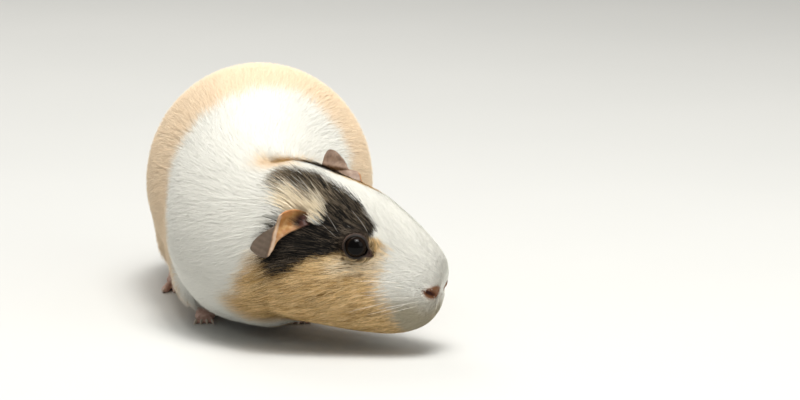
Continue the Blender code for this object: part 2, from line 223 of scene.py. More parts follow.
# %% A node tree that grows by expressions
class Graph:
    """A node tree, shader or geometry."""

    def __init__(self, tree):
        self.tree = tree

    def node(self, kind, settings=None, out=0, **sockets):
        """A box of a kind: its settings first, then its sockets. Socket names have _ for a space."""
        made = self.tree.nodes.new(kind)
        for name, value in (settings or {}).items():
            setattr(made, name, value)
        for name, value in sockets.items():
            self.plug(self.enabled(made.inputs, name.replace("_", " ")), value)
        return Wire(self, self.enabled(made.outputs, out))

    @staticmethod
    def enabled(sockets, name):
        """The socket of that name or number, passing over those that the settings hide."""
        if isinstance(name, int):
            return [s for s in sockets if s.enabled][name]
        return next(s for s in sockets if s.enabled and s.name == name)

    def plug(self, socket, value):
        if isinstance(value, Wire):
            self.tree.links.new(value.socket, socket)
        elif socket.type == "RGBA" and len(value) == 3:
            socket.default_value = (*value, 1)
        else:
            socket.default_value = value

    def operate(self, kind, operation, terms, out):
        made = self.tree.nodes.new(kind)
        made.operation = operation
        for socket, term in zip(made.inputs, terms):
            self.plug(socket, term)
        return made, Wire(self, made.outputs[out])

    def math(self, operation, *terms):
        return self.operate("ShaderNodeMath", operation, terms, 0)[1]

    def vector_math(self, operation, *terms, scale=None, out="Vector"):
        made, result = self.operate("ShaderNodeVectorMath", operation, terms, out)
        if scale is not None:
            self.plug(made.inputs["Scale"], scale)
        return result

    def mix(self, share, a, b):
        """a where share is 0, b where it is 1, for colours."""
        return self.node("ShaderNodeMix", dict(data_type="RGBA"), Factor=share, A=a, B=b)

    def smaller(self, a, b):
        return self.math("MINIMUM", a, b)

    def larger(self, a, b):
        return self.math("MAXIMUM", a, b)

    def noise(self, place, scale, detail=2, out=0):
        return self.node("ShaderNodeTexNoise", None, out, Vector=place, Scale=scale, Detail=detail)

    def axes(self, place):
        """The x, y and z of a place."""
        return [self.node("ShaderNodeSeparateXYZ", None, axis, Vector=place) for axis in "XYZ"]


print("node language ready with", len(SIGNS), "signs")

# %% [markdown]
# ## How a finish and a shape begin
#
# Every finish here is one Principled shader whose colour varies over the piece, mostly with a bump.
# Turned and swept shapes are built row by row: a ring for each step through an eyeball or along
# a claw, an open row across an ear or the floor. One function joins neighbouring rows with faces,
# so that each shape further down only says where its points lie.


# %% A material that starts from one shader
def finish_with(name, base, **sockets):
    """A material whose Principled shader has these fixed sockets, and its graph."""
    made = bpy.data.materials.new(name)
    made.use_nodes = True
    shader = made.node_tree.nodes["Principled BSDF"]
    graph = Graph(made.node_tree)
    graph.plug(shader.inputs["Base Color"], base)
    for key, value in sockets.items():
        graph.plug(shader.inputs[key.replace("_", " ")], value)
    return made, graph, shader


def paint(graph, shader, colour):
    graph.plug(shader.inputs["Base Color"], colour)


def emboss(graph, shader, height, strength, distance):
    """A bump of a height from 0 to 1, its strength, and its depth in metres."""
    bump = graph.node("ShaderNodeBump", None, Strength=strength, Distance=distance, Height=height)
    graph.plug(shader.inputs["Normal"], bump)


def object_place(graph):
    """Where the point lies, in millimetres."""
    return graph.node("ShaderNodeTexCoord", None, "Object") * (1 / MM)


# %% Objects, and faces between rows of points
def add_object(name, mesh):
    obj = bpy.data.objects.new(name, mesh)
    bpy.context.scene.collection.objects.link(obj)
    return obj


def add_form(name, form):
    """The object of a bmesh, which is freed."""
    mesh = bpy.data.meshes.new(name)
    form.to_mesh(mesh)
    form.free()
    return add_object(name, mesh)


def join_rows(form, rows, closed=False):
    """Faces between each row and the next. Closed rows are rings."""
    for low, high in zip(rows, rows[1:]):
        for j in range(0 if closed else 1, len(low)):
            form.faces.new((low[j - 1], low[j], high[j], high[j - 1]))


def ring_angles(count):
    return [2 * math.pi * j / count for j in range(count)]


def settled(obj):
    """Gives obj the mesh that its modifiers make, and clears them."""
    graph = bpy.context.evaluated_depsgraph_get()
    mesh = bpy.data.meshes.new_from_object(
        obj.evaluated_get(graph), preserve_all_data_layers=True, depsgraph=graph
    )
    obj.modifiers.clear()
    obj.data = mesh
    return obj


def welded(obj, voxel, rounds):
    """Makes one closed mesh of overlapping ones by a voxel remesh, and smooths it."""
    weld = obj.modifiers.new("weld", "REMESH")
    weld.mode = "VOXEL"
    weld.voxel_size = voxel
    fair = obj.modifiers.new("fair", "SMOOTH")
    fair.iterations = rounds
    return settled(obj)


def dress(obj, finish, slot, *nodes):
    """Gives a piece its finish, sets it on the root body and hides the solids that it stands for. The
    slot is not used.
    """
    obj.data.materials.append(finish)
    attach(obj, "root")
    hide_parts(*nodes)


print("helpers for finishes and shapes ready")

# %% [markdown]
# ## The floor
#
# The floor is not part of the animal. It sweeps up behind in one curve. Its finish has a trace
# of mottling, as a sheet of matt paper has.

# %% Floor and backdrop
FLOOR_HALF = 3.0
FLOOR_FRONT = -3.0
FLOOR_BACK = 1.6
BACKDROP_BEND = 1.2
BACKDROP_TOP = 3.0
BEND_STEPS = 24
PAPER_DARK = (0.60, 0.605, 0.59)
PAPER_LIGHT = (0.64, 0.64, 0.625)


def swept_floor():
    profile = [(FLOOR_FRONT, 0)]
    for k in range(BEND_STEPS + 1):
        turn = math.pi / 2 * k / BEND_STEPS
        profile.append(
            (FLOOR_BACK + BACKDROP_BEND * math.sin(turn), BACKDROP_BEND * (1 - math.cos(turn)))
        )
    profile.append((FLOOR_BACK + BACKDROP_BEND, BACKDROP_TOP))
    form = bmesh.new()
    rows = [[form.verts.new((x, y, z)) for x in (-FLOOR_HALF, FLOOR_HALF)] for y, z in profile]
    join_rows(form, rows)
    return add_form("floor", form)


def paper_finish():
    made, graph, shader = finish_with("floor_paper", PAPER_LIGHT, Roughness=0.85)
    mottle = graph.noise(object_place(graph), 0.004)
    paint(graph, shader, graph.mix(mottle, PAPER_DARK, PAPER_LIGHT))
    return made


floor = swept_floor()
floor.data.shade_smooth()
floor.data.materials.append(paper_finish())
print("floor:", len(floor.data.polygons), "faces")

# %% [markdown]
# ## The skin
#
# Head, neck, trunk and the upper legs are seven solids that were parted with thin cuts. The real
# animal has one skin. A voxel remesh is the plainest way to weld them: each solid is copied,
# swollen until the cuts close, and the lot is remeshed and smoothed, which also rounds off the
# facets. The solids reach to the tips of the hair, so the skin then sinks by the coat's depth.

# %% Welding the solids into one skin
FLESH = ("head", "neck", "trunk", "thigh_left", "thigh_right", "foreleg_left", "foreleg_right")
WELD = 0.01 * MM
SWELL = 0.3 * MM
SKIN_VOXEL = 1.1 * MM
SKIN_SMOOTHING = 26


def swollen_flesh():
    form = bmesh.new()
    for node in FLESH:
        piece = bmesh.new()
        piece.from_mesh(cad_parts[node].data)
        bmesh.ops.remove_doubles(piece, verts=piece.verts, dist=WELD)
        piece.normal_update()
        for vertex in piece.verts:
            vertex.co += vertex.normal * SWELL
        copy = bpy.data.meshes.new(node)
        piece.to_mesh(copy)
        piece.free()
        form.from_mesh(copy)
        bpy.data.meshes.remove(copy)
    return add_form("skin", form)


skin = welded(swollen_flesh(), SKIN_VOXEL, SKIN_SMOOTHING)
print("welded skin:", len(skin.data.polygons), "faces")


# %% Numbers of a mesh, as arrays
def numbers_of(items, name, width=3):
    """One value of every item of a mesh, as rows."""
    found = np.empty(len(items) * width, np.float32)
    items.foreach_get(name, found)
    return found.reshape(-1, width).astype(float)


def places_of(mesh):
    return numbers_of(mesh.vertices, "co")


def set_places(mesh, rows):
    mesh.vertices.foreach_set("co", rows.astype(np.float32).ravel())
    mesh.update()


def normals_of(mesh):
    return numbers_of(mesh.vertex_normals, "vector")


def unit_rows(rows):
    return rows / np.maximum(np.linalg.norm(rows, axis=1, keepdims=True), 1e-9)


def edges_of(mesh):
    found = np.empty(len(mesh.edges) * 2, np.int32)
    mesh.edges.foreach_get("vertices", found)
    return found.reshape(-1, 2)


def faired(rows, edges, rounds):
    """Rows averaged with their neighbours' along the mesh's edges, round after round."""
    ends = np.concatenate([edges, edges[:, ::-1]])
    count = np.maximum(np.bincount(ends[:, 0], minlength=len(rows)), 1)[:, None]
    for _ in range(rounds):
        sums = [np.bincount(ends[:, 0], column[ends[:, 1]], len(rows)) for column in rows.T]
        rows = (rows + np.stack(sums, 1) / count) / 2
    return rows


def soft_step(values, low, high):
    """0 below low and 1 above high, with a soft rise between."""
    share = np.clip((values - low) / (high - low), 0, 1)
    return share * share * (3 - 2 * share)


print("skin box in mm:", *(f"{v / MM:.0f}" for v in np.ptp(places_of(skin.data), axis=0)))

# %% [markdown]
# ## The line that the coat follows
#
# Hair lies away from the nose: back over the head, round the bend of the neck and along the
# trunk. One smooth line through the middle of the animal gives that direction anywhere. It also
# gives two numbers that unroll the skin like a map: how far along the line a place is, and at
# which angle round it.

# %% The middle line
MIDDLE_LINE = (
    tuple(on_head(-4, 0, -2)),
    tuple(on_head(30, 0, -1)),
    tuple(on_head(62, 0, 0)),
    (-0.004, -0.066, 0.040),
    (-0.014, -0.040, 0.043),
    (-0.016, -0.010, 0.047),
    (-0.016, 0.035, 0.050),
    (-0.016, 0.070, 0.048),
    (-0.016, 0.098, 0.042),
)
LINE_POINTS = 160
MOST_ROWS = 4000  # points compared with the line at one time
Along = namedtuple("Along", "far way round")


def catmull_rom(keys, count):
    """Places at even steps along a smooth curve through the keys."""
    rows = np.array(keys, float)
    rows = np.vstack([2 * rows[0] - rows[1], rows, 2 * rows[-1] - rows[-2]])
    read = []
    for t in np.linspace(0, len(keys) - 1, count):
        i = min(int(t), len(keys) - 2)
        a, b, c, d = rows[i : i + 4]
        f = t - i
        bend = (2 * a - 5 * b + 4 * c - d) * f**2 + (3 * b - a - 3 * c + d) * f**3
        read.append(b + 0.5 * ((c - a) * f + bend))
    return np.array(read)


line = catmull_rom(MIDDLE_LINE, LINE_POINTS)
line_ways = unit_rows(np.gradient(line, axis=0))
line_far = np.concatenate([[0], np.cumsum(np.linalg.norm(np.diff(line, axis=0), axis=1))])


def along_line(points):
    """For each point: distance along the line, the line's direction, and the angle round it."""
    nearest = np.concatenate(
        [
            np.argmin(((part[:, None, :] - line[None]) ** 2).sum(2), axis=1)
            for part in np.array_split(points, max(1, len(points) // MOST_ROWS))
        ]
    )
    way = line_ways[nearest]
    across = unit_rows(np.cross(way, (0, 0, 1)))
    above = np.cross(across, way)
    reach = points - line[nearest]
    round_it = np.arctan2((reach * across).sum(1), (reach * above).sum(1))
    far = line_far[nearest] + (reach * way).sum(1)
    return Along(far / MM, way, round_it)


print("middle line:", round(line_far[-1] / MM), "mm")

# %% [markdown]
# ## How deep the coat is
#
# A smooth-coated guinea pig has hair of about a millimetre on the nose, a few on the face and
# a centimetre and a half on the body. Hair that lies flat makes a coat that is a good deal
# thinner than the hair is long. The depth is worked out once and used twice: the skin sinks by
# it, and the hair rises through it.

# %% Depth and length of the coat over the skin
# millimetres along the middle line, then the depth and the length of the coat there
COAT_ALONG = (
    (0, 0.5, 1.2),
    (8, 0.8, 2.2),
    (20, 1.3, 4),
    (32, 1.8, 6),
    (48, 2.6, 9),
    (75, 4.0, 12.5),
    (110, 4.6, 14.5),
    (170, 4.8, 15.5),
    (260, 4.6, 15.5),
)
LEG_COAT = (1.7, 6.5)
LEG_TOP = (14, 7)  # millimetres over the floor where the legs' coat starts, and is full
BELLY_COAT = (3.0, 10)
BELLY_TOP = (22, 10)
BODY_START = (80, 110)  # along the middle line


def coat_measures(points):
    """Depth and length of the coat at each point, in millimetres."""
    far, _, _ = along_line(points)
    keys = np.array(COAT_ALONG)
    depth = np.interp(far, keys[:, 0], keys[:, 1])
    length = np.interp(far, keys[:, 0], keys[:, 2])
    body = soft_step(far, *BODY_START)
    height = points[:, 2] / MM
    for (top, full), (thin, short) in ((BELLY_TOP, BELLY_COAT), (LEG_TOP, LEG_COAT)):
        share = body * soft_step(-height, -top, -full)
        depth = depth * (1 - share) + thin * share
        length = length * (1 - share) + short * share
    return depth, length


NORMAL_SMOOTHING = 6
outer = places_of(skin.data)
depth, _ = coat_measures(outer)
normals = unit_rows(faired(normals_of(skin.data), edges_of(skin.data), NORMAL_SMOOTHING))
set_places(skin.data, outer - normals * (depth * MM + SWELL)[:, None])
print("skin sunk by", round(depth.min(), 1), "to", round(depth.max(), 1), "mm")

# %% [markdown]
# ## Finer faces for the lids and the nose
#
# Lids, nostrils and mouth are sculpted into the same skin, so that they have no seam. The welded
# skin's faces are about a millimetre across, which is as wide as the rim of a lid, so the faces
# there are divided twice, until they are a quarter of a millimetre across. Elsewhere the coat
# hides the skin, and coarse faces are enough.

# %% Finer faces where the face needs them
EYE_RADIUS = 4.6
LID_REACH = 8.4
NOSE_REACH = 11


def divided_near(obj, middle, reach):
    """Divides in four the faces of obj that lie within reach of a place."""
    form = bmesh.new()
    form.from_mesh(obj.data)
    near = [f for f in form.faces if (f.calc_center_median() - middle).length < reach * MM]
    edges = list({e for f in near for e in f.edges})
    bmesh.ops.subdivide_edges(form, edges=edges, cuts=1, use_grid_fill=True, smooth=0.0)
    bmesh.ops.triangulate(form, faces=[f for f in form.faces if len(f.verts) > 4])
    form.to_mesh(obj.data)
    form.free()


NOSE_MIDDLE = on_head(3, 0, -5)
FIRST_MARGIN = 1.5  # how much farther the first of two divisions reaches
for middle, reach in (*((EYE_MIDDLE[s], LID_REACH) for s in SIDES), (NOSE_MIDDLE, NOSE_REACH)):
    divided_near(skin, middle, reach + FIRST_MARGIN)
    divided_near(skin, middle, reach)
print("skin with finer lids and nose:", len(skin.data.polygons), "faces")

# %% [markdown]
# ## Eyelids
#
# A lid is a rim of bare skin that hugs the eyeball, then dips into the face. Its section is drawn
# once, and each point of the skin near an eye is moved to that section turned about the direction
# of gaze: up over the rim and down behind the eyeball. The rim runs out to a point towards the
# nose, as the corner of the real eye does. The points just beyond the lid are then averaged with
# their neighbours many times, so that lid and face meet with no step.

# %% The section of a lid, and the frame of the gaze
GAZE_FORWARD = 0.25
GAZE_UP = 0.22
# A section through the lid, from the face in to the back of the eyeball: where the skin's own
# point was, then where it goes: out from the gaze line and forward along it, in millimetres.
LID_PROFILE = (
    (8.4, 8.4, -2.1),
    (7.4, 7.3, -1.2),
    (6.6, 6.4, -0.15),
    (5.9, 5.75, 0.55),
    (5.3, 5.2, 1.25),
    (4.8, 4.7, 1.95),
    (4.4, 4.35, 2.35),
    (4.0, 4.1, 2.35),
    (3.6, 4.02, 1.9),
    (2.9, 4.8, 0.5),
    (1.9, 4.95, -1.2),
    (0.9, 3.3, -4.0),
    (0.0, 0.0, -5.2),
)
CORNER_TURN = math.radians(-14)  # below straight ahead
CORNER_REACH = 1.7
CORNER_DIP = 2.1
CORNER_WIDTH = 0.3  # radians round the gaze
REAR_TURN = CORNER_TURN + math.pi * 1.03  # of the other corner
REAR_REACH = 0.4
REAR_WIDTH = 0.45
BROW_DROP = 0.15  # how far the upper lid comes down
BROW_WIDTH = 0.7
BEHIND_EYE = -9  # along the gaze: what is farther back belongs to the other side
LID_FOLDS = ((5.75, 0.32, 0.26), (6.6, 0.4, 0.26))  # out from the gaze line, width and depth
# the rest are places out from the gaze line, in millimetres
PULL_STARTS = (2.9, 3.8)  # where a corner begins to pull the lid
PULL_ENDS = (5.4, 8.2)
RIM_OUT = 4.8  # beyond it the lid never sinks below the face
LID_ENDS = (5.3, 8.4)  # where the section gives way to the face


def gaze_frame(side):
    """The eye's middle, and its directions out along the gaze, ahead and up."""
    sign = SIDES[side]
    gaze = (HEAD_LEFT * sign + AHEAD * GAZE_FORWARD + HEAD_UP * GAZE_UP).normalized()
    ahead = (AHEAD - gaze * AHEAD.dot(gaze)).normalized()
    above = gaze.cross(ahead) * -sign
    if above.dot(HEAD_UP) < 0:
        above = -above
    return EYE_MIDDLE[side], gaze, ahead, above


def round_gaze(points, side):
    """How far each point lies along the gaze and off it, and its angle round it from ahead."""
    middle, gaze, ahead, above = (np.array(v) for v in gaze_frame(side))
    reach = (points - middle) / MM
    fore, rise = reach @ ahead, reach @ above
    return reach @ gaze, np.hypot(fore, rise), np.arctan2(rise, fore)


def corner_pull(angle, turn, width):
    """1 at an angle round the gaze, falling off over a width on both sides."""
    away = np.angle(np.exp(1j * (angle - turn)))
    return np.exp(-((away / width) ** 2))


print("section of a lid:", len(LID_PROFILE), "places; left eye looks along", gaze_frame("left")[1])


# %% Eyelids
def with_eyelids(points, side):
    middle, gaze, ahead, above = (np.array(v) for v in gaze_frame(side))
    forward, out, angle = round_gaze(points, side)
    front = (out < LID_PROFILE[0][0]) & (forward > BEHIND_EYE)
    keys = np.array(LID_PROFILE)[::-1]
    corner = corner_pull(angle, CORNER_TURN, CORNER_WIDTH) * CORNER_REACH
    rear = corner_pull(angle, REAR_TURN, REAR_WIDTH) * REAR_REACH
    upper = corner_pull(angle, math.pi / 2, BROW_WIDTH) * BROW_DROP
    stretch = soft_step(out, *PULL_STARTS) * (1 - soft_step(out, *PULL_ENDS))
    new_out = np.interp(out, keys[:, 0], keys[:, 1]) + (corner + rear - upper) * stretch
    new_forward = np.interp(out, keys[:, 0], keys[:, 2])
    new_forward = np.where(out > RIM_OUT, np.maximum(new_forward, forward), new_forward)
    new_forward -= corner / CORNER_REACH * stretch * CORNER_DIP
    for far, width, deep in LID_FOLDS:
        new_forward -= deep * np.exp(-(((out - far) / width) ** 2)) * np.maximum(np.sin(angle), 0.0)
    blend = 1 - soft_step(out, *LID_ENDS)
    new_out = out + (new_out - out) * blend
    new_forward = forward + (new_forward - forward) * blend
    moved = middle + MM * (
        np.outer(new_forward, gaze)
        + np.outer(new_out * np.cos(angle), ahead)
        + np.outer(new_out * np.sin(angle), above)
    )
    points[front] = moved[front]
    return points


EASE_ROUNDS = 140
EASE_STRENGTH = 1.6
EASE_GROOVE = 1.8  # how much farther out it starts at the corner
EASE_STARTS = (5.2, 6.8)
EASE_ENDS = (10.5, 13.5)


def eased(points, edges, side):
    """Points beyond the lid averaged round after round, so that lid and face meet smoothly."""
    forward, out, angle = round_gaze(points, side)
    out = out - corner_pull(angle, CORNER_TURN, CORNER_WIDTH) * EASE_GROOVE
    share = soft_step(out, *EASE_STARTS) * (1 - soft_step(out, *EASE_ENDS))
    share = share * (forward > BEHIND_EYE)
    close = share > 0
    kept = edges[close[edges].any(1)]
    used, local = np.unique(kept, return_inverse=True)
    local, weight = local.reshape(-1, 2), share[used][:, None]
    rows = points[used]
    for _ in range(EASE_ROUNDS):
        rows = rows + (faired(rows, local, 1) - rows) * weight * EASE_STRENGTH
    points[used] = rows
    return points


points = places_of(skin.data)
skin_edges = edges_of(skin.data)
for side in SIDES:
    points = eased(with_eyelids(points, side), skin_edges, side)
print("lids: skin from", round(max(points[:, 2]) / MM), "mm down to", round(min(points[:, 2]) / MM))

# %% [markdown]
# ## Nostrils, lips and mouth
#
# A nostril is a slit like a comma with a raised wing over it. The upper lip is split up to the
# nose, and the mouth is small and far under. Each is a groove pressed into the muzzle along a
# short curve, and the wing is a groove whose depth is turned outwards. A groove fades away to
# both sides, which gives the soft edges of skin.

# %% Nostrils, lips and mouth
Groove = namedtuple("Groove", "start middle end width depth")
# places on the head: behind the nose tip, out, up; width and depth of the groove in millimetres
NOSTRIL = Groove((1.3, 5.6, -4.8), (1.9, 7.4, -4.1), (3.2, 9.2, -3.5), 0.75, 1.7)
NOSTRIL_WING = Groove((1.4, 5.2, -2.6), (2.2, 7.8, -1.9), (4.0, 10.2, -2.0), 1.1, -0.5)
NOSTRIL_HEEL = Groove((4.2, 10.6, -2.6), (4.6, 11.0, -4.0), (3.6, 10.0, -5.6), 0.8, -0.4)
LIP_SPLIT = Groove((0.6, 0, -6.0), (0.8, 0, -9.6), (1.5, 0, -13.2), 0.6, 1.0)
MOUTH = Groove((1.6, 0.3, -13.6), (3.0, 3.4, -14.4), (7.5, 7.2, -16.2), 0.6, 1.2)
GROOVE_STEPS = 14


def groove_line(groove, sign):
    keys = [(back, out * sign, up) for back, out, up in groove[:3]]
    return catmull_rom(keys, GROOVE_STEPS)


def off_groove(at, groove, sign):
    """How far places on the head are from the middle of a groove."""
    middle = groove_line(groove, sign)
    return np.sqrt(((at[:, None, :] - middle[None]) ** 2).sum(2).min(1))


def pressed(points, normals, groove, sign):
    """Points moved inwards along a groove, or outwards where its depth is negative."""
    away = off_groove(head_places(points), groove, sign)
    fall = np.exp(-((away / groove.width) ** 2))
    return points - normals * (groove.depth * fall * MM)[:, None]


MUZZLE_REACH = NOSE_REACH * 1.6
set_places(skin.data, points)
normals = normals_of(skin.data)
muzzle = np.linalg.norm(points - np.array(NOSE_MIDDLE), axis=1) < MUZZLE_REACH * MM
for sign in SIDES.values():
    for groove in (NOSTRIL_WING, NOSTRIL_HEEL, NOSTRIL, MOUTH, LIP_SPLIT):
        points[muzzle] = pressed(points[muzzle], normals[muzzle], groove, sign)
set_places(skin.data, points)
skin.data.shade_smooth()
print("muzzle: grooves over", int(muzzle.sum()), "points")

# %% [markdown]
# ## Which way the hair lies
#
# Over the body the hair follows the middle line and sinks a little down the flanks. On the head
# it parts along the line from the eye to the ear: above it the hair climbs over the crown, and
# below it the hair slopes down over the cheek. On the legs it points at the floor. These
# directions are worked out for every point of the skin, smoothed, and kept on the mesh for the
# Geometry Nodes to read.

# %% Directions and measures on the skin
FLANK_FALL = 0.42
CROWN_CLIMB = 0.5
CHEEK_FALL = 0.42
PARTING = math.radians(24)  # of the eye and ear above the head's level
LIE_SMOOTHING = 16
LID_PARTING = 0.9  # how much of the hair that would cross a lid turns round it
HEAD_TO_BODY = (60, 95)  # along the middle line
CLIMB_STARTS = (6, 22)  # behind the nose tip
HANG_HEIGHTS = (24, 8)  # the hairs of the legs and the belly's edge point down
HANG_STARTS = (85, 110)  # along the middle line
PARTED_ROUND_EYE = (5.0, 10.0)  # out from the gaze line


def hair_ways(points, normals, line_at):
    at = head_places(points)
    round_head = np.arctan2(at[:, 2], np.abs(at[:, 1]))
    climb = np.sin(2 * (round_head - PARTING))
    climb = np.where(climb > 0, climb * CROWN_CLIMB, climb * CHEEK_FALL)
    climb *= soft_step(at[:, 0], *CLIMB_STARTS)
    out_sign = np.sign(at[:, 1])
    # the direction that climbs round the head, seen from behind
    tangent = (
        -np.sin(round_head)[:, None] * out_sign[:, None] * np.array(HEAD_LEFT)
        + np.cos(round_head)[:, None] * np.array(HEAD_UP)
    )
    on_the_head = -np.array(AHEAD) + tangent * climb[:, None]
    sides = np.abs(np.sin(line_at.round))[:, None]
    on_the_body = line_at.way - np.array(UP) * sides * FLANK_FALL
    share = soft_step(line_at.far, *HEAD_TO_BODY)[:, None]
    ways = on_the_head * (1 - share) + on_the_body * share
    top, full = HANG_HEIGHTS
    low = soft_step(-points[:, 2] / MM, -top, -full) * soft_step(line_at.far, *HANG_STARTS)
    ways = ways * (1 - low[:, None]) - np.array(UP) * low[:, None]
    for side in SIDES:
        middle, gaze, _, _ = (np.array(v) for v in gaze_frame(side))
        forward, out, _ = round_gaze(points, side)
        reach = points - middle
        radial = unit_rows(reach - np.outer(reach @ gaze, gaze))
        inward = np.minimum((ways * radial).sum(1), 0)
        share = (1 - soft_step(out, *PARTED_ROUND_EYE)) * (forward > BEHIND_EYE) * LID_PARTING
        ways = ways - radial * (inward * share)[:, None]
    ways -= normals * (ways * normals).sum(1)[:, None]
    return unit_rows(ways)


def keep_on(mesh, name, rows, kind):
    """Stores an attribute on the points of a mesh."""
    made = mesh.attributes.new(name, kind, "POINT")
    made.data.foreach_set("vector" if kind == "FLOAT_VECTOR" else "value", rows.ravel())


points = places_of(skin.data)
normals = unit_rows(faired(normals_of(skin.data), edges_of(skin.data), 3))
line_at = along_line(points)
ways = hair_ways(points, normals, line_at)
ways = faired(ways, edges_of(skin.data), LIE_SMOOTHING)
ways = unit_rows(ways - normals * (ways * normals).sum(1)[:, None])
depth, length = coat_measures(points)
print("hair from", round(length.min(), 1), "to", round(length.max(), 1), "mm long")

# %% [markdown]
# ## Bare skin, short hair and beds of long hair
#
# The rims of the lids, the pad round each nostril, the lips and the hollow of the ear are bare,
# and the hair near them is short. Whiskers and the tufts at the ears grow only in beds of their
# own. All of these are numbers from 0 to 1 kept on the skin, so that a tree can multiply its
# density by them. A bed is a few soft spots, each given by its place on the head and its reach.

# %% Bare places, and shorter hair round the eyes and nose
LID_BARE = 5.0
LID_SHORT = 12
TEAR_GROOVE = 2.3  # how much farther the bare skin reaches at the corner of the eye
NOSE_PAD = (2.0, 6.2, -3.7)  # the middle of the bare skin round a nostril
NOSE_PAD_REACH = (8.6, 5.2, 3.0)
BARE_GROOVES = ((NOSTRIL, 1.3), (LIP_SPLIT, 0.5), (MOUTH, 0.7))
MUZZLE_END = 20  # behind the nose tip
FAR_OFF = 99.0
TEAR_WIDTH = 0.22  # radians round the gaze
TEAR_STARTS = (3.5, 5.0)  # out from the gaze line
SPOT_CORE = 0.55  # the share of a spot's reach that is wholly in it
# what hair loses beside the eye and beside the nose
SHORTER = (0.62, 0.5)
FLATTER = (0.55, 0.4)
# from a nostril at 0 to the edge of its bare skin at 1
PAD_SHORT = (0.6, 2.4)
FIRST_HAIRS = (0.45, 0.7)
FULL_HAIR = (0.75, 1.25)
FIRST_SHARE = 0.05


def off_gaze(points):
    """How far from the line of gaze each point of the face lies, less the groove for tears."""
    nearest = np.full(len(points), FAR_OFF)
    for side in SIDES:
        forward, out, angle = round_gaze(points, side)
        groove = corner_pull(angle, CORNER_TURN, TEAR_WIDTH) * TEAR_GROOVE
        groove = groove * soft_step(out, *TEAR_STARTS)
        out = np.where(forward > BEHIND_EYE, out - groove, FAR_OFF)
        nearest = np.minimum(nearest, out)
    return nearest


def off_nose_pad(points):
    """0 at a nostril, 1 at the edge of the bare skin round it."""
    at = head_places(points)
    at[:, 1] = np.abs(at[:, 1])
    return np.linalg.norm((at - NOSE_PAD) / NOSE_PAD_REACH, axis=1)


eye_away = off_gaze(points)
pad_away = off_nose_pad(points)
at = head_places(points)
short = 1 - soft_step(eye_away, LID_BARE, LID_SHORT)
near_pad = 1 - soft_step(pad_away, *PAD_SHORT)
length = length * (1 - SHORTER[0] * short) * (1 - SHORTER[1] * near_pad)
depth = depth * (1 - FLATTER[0] * short) * (1 - FLATTER[1] * near_pad)
crowd = soft_step(eye_away, LID_BARE - 0.25, LID_BARE + 0.4)
few, full = soft_step(pad_away, *FIRST_HAIRS), soft_step(pad_away, *FULL_HAIR)
crowd *= FIRST_SHARE * few + (1 - FIRST_SHARE) * full
close = at[:, 0] < MUZZLE_END
for sign in SIDES.values():
    for groove, bare in BARE_GROOVES:
        crowd[close] *= soft_step(off_groove(at[close], groove, sign), bare * 0.7, bare * 1.5)
print("bare points round eyes, nostrils and lips:", int((crowd < 0.5).sum()))

# %% Beds of the longer hairs
# places on the head, behind the nose tip, out and up, and how far each spot reaches
BED_SPOTS = {
    "whisker_bed": ((8.5, 13, -3.5, 4.2), (11, 14, -7, 4.0), (6.5, 11, -7.5, 3.2)),
    "brow_bed": ((36, 16.5, 15.5, 3.2), (29, 15, 14.5, 2.6)),
    "cheek_bed": ((36, 20, 5, 3.5),),
    "ear_top_bed": ((50, 16, 21, 6.5), (57, 15, 21.5, 6.0)),
    "ear_foot_bed": ((47, 22.5, 7, 6.0), (54, 24, 6, 5.0)),
    "ear_root_bed": ((46.5, 19.5, 15.5, 3.6),),
}
EAR_HOLLOWS = ((53, 20, 14.5, 5.5), (57, 21, 12.5, 5.5), (61, 21.5, 10, 5.5))  # no hair grows here
EAR_FRONTS = ((50, 20, 15.5, 7.0),)  # and only short hair here


def near_spots(at, spots):
    """1 in a spot on either side of the head, falling to 0 at its edge."""
    at = np.column_stack([at[:, 0], np.abs(at[:, 1]), at[:, 2]])
    shares = [
        1 - soft_step(np.linalg.norm(at - middle, axis=1), reach * SPOT_CORE, reach)
        for *middle, reach in spots
    ]
    return np.max(shares, axis=0)


BEDS = {name: near_spots(at, spots) for name, spots in BED_SPOTS.items()}
crowd *= 1 - near_spots(at, EAR_HOLLOWS)
length *= 1 - 0.5 * near_spots(at, EAR_FRONTS)
print("beds of longer hairs:", {name: int((bed > 0.5).sum()) for name, bed in BEDS.items()})

# %% [markdown]
# ## Regions of the coat
#
# One mesh of the whole coat would be far too heavy to handle, so the coat is grown in pieces.
# Each piece covers one region of the skin. The regions follow the distance along the middle line
# and the side of the body, and hair from one overlaps the next, so that no border shows.

# %% Regions, and the map that unrolls the skin
FACE_END = 36
HEAD_END = 82
NECK_END = 125
FLANK_START = 0.9
BELLY_START = 2.3  # radians round the middle line from the top
RUMP_START = 205
TOP_LOFT = 0.2
PAIRED = ("face", "head", "neck", "flank", "rump")
REGIONS = ("back", "belly", *(f"{name}_{side}" for name in PAIRED for side in ("right", "left")))


def region_numbers(line_at):
    """The number of each point's region: a later row of the list below goes over an earlier one."""
    far, _, turn = line_at
    belly = np.abs(turn) > BELLY_START
    number = np.where(belly, REGIONS.index("belly"), REGIONS.index("back"))
    for name, here in (
        ("flank", (np.abs(turn) > FLANK_START) & ~belly),
        ("rump", far > RUMP_START),
        ("neck", far < NECK_END),
        ("head", far < HEAD_END),
        ("face", far < FACE_END),
    ):
        number[here & (turn < 0)] = REGIONS.index(f"{name}_right")
        number[here & (turn >= 0)] = REGIONS.index(f"{name}_left")
    return number


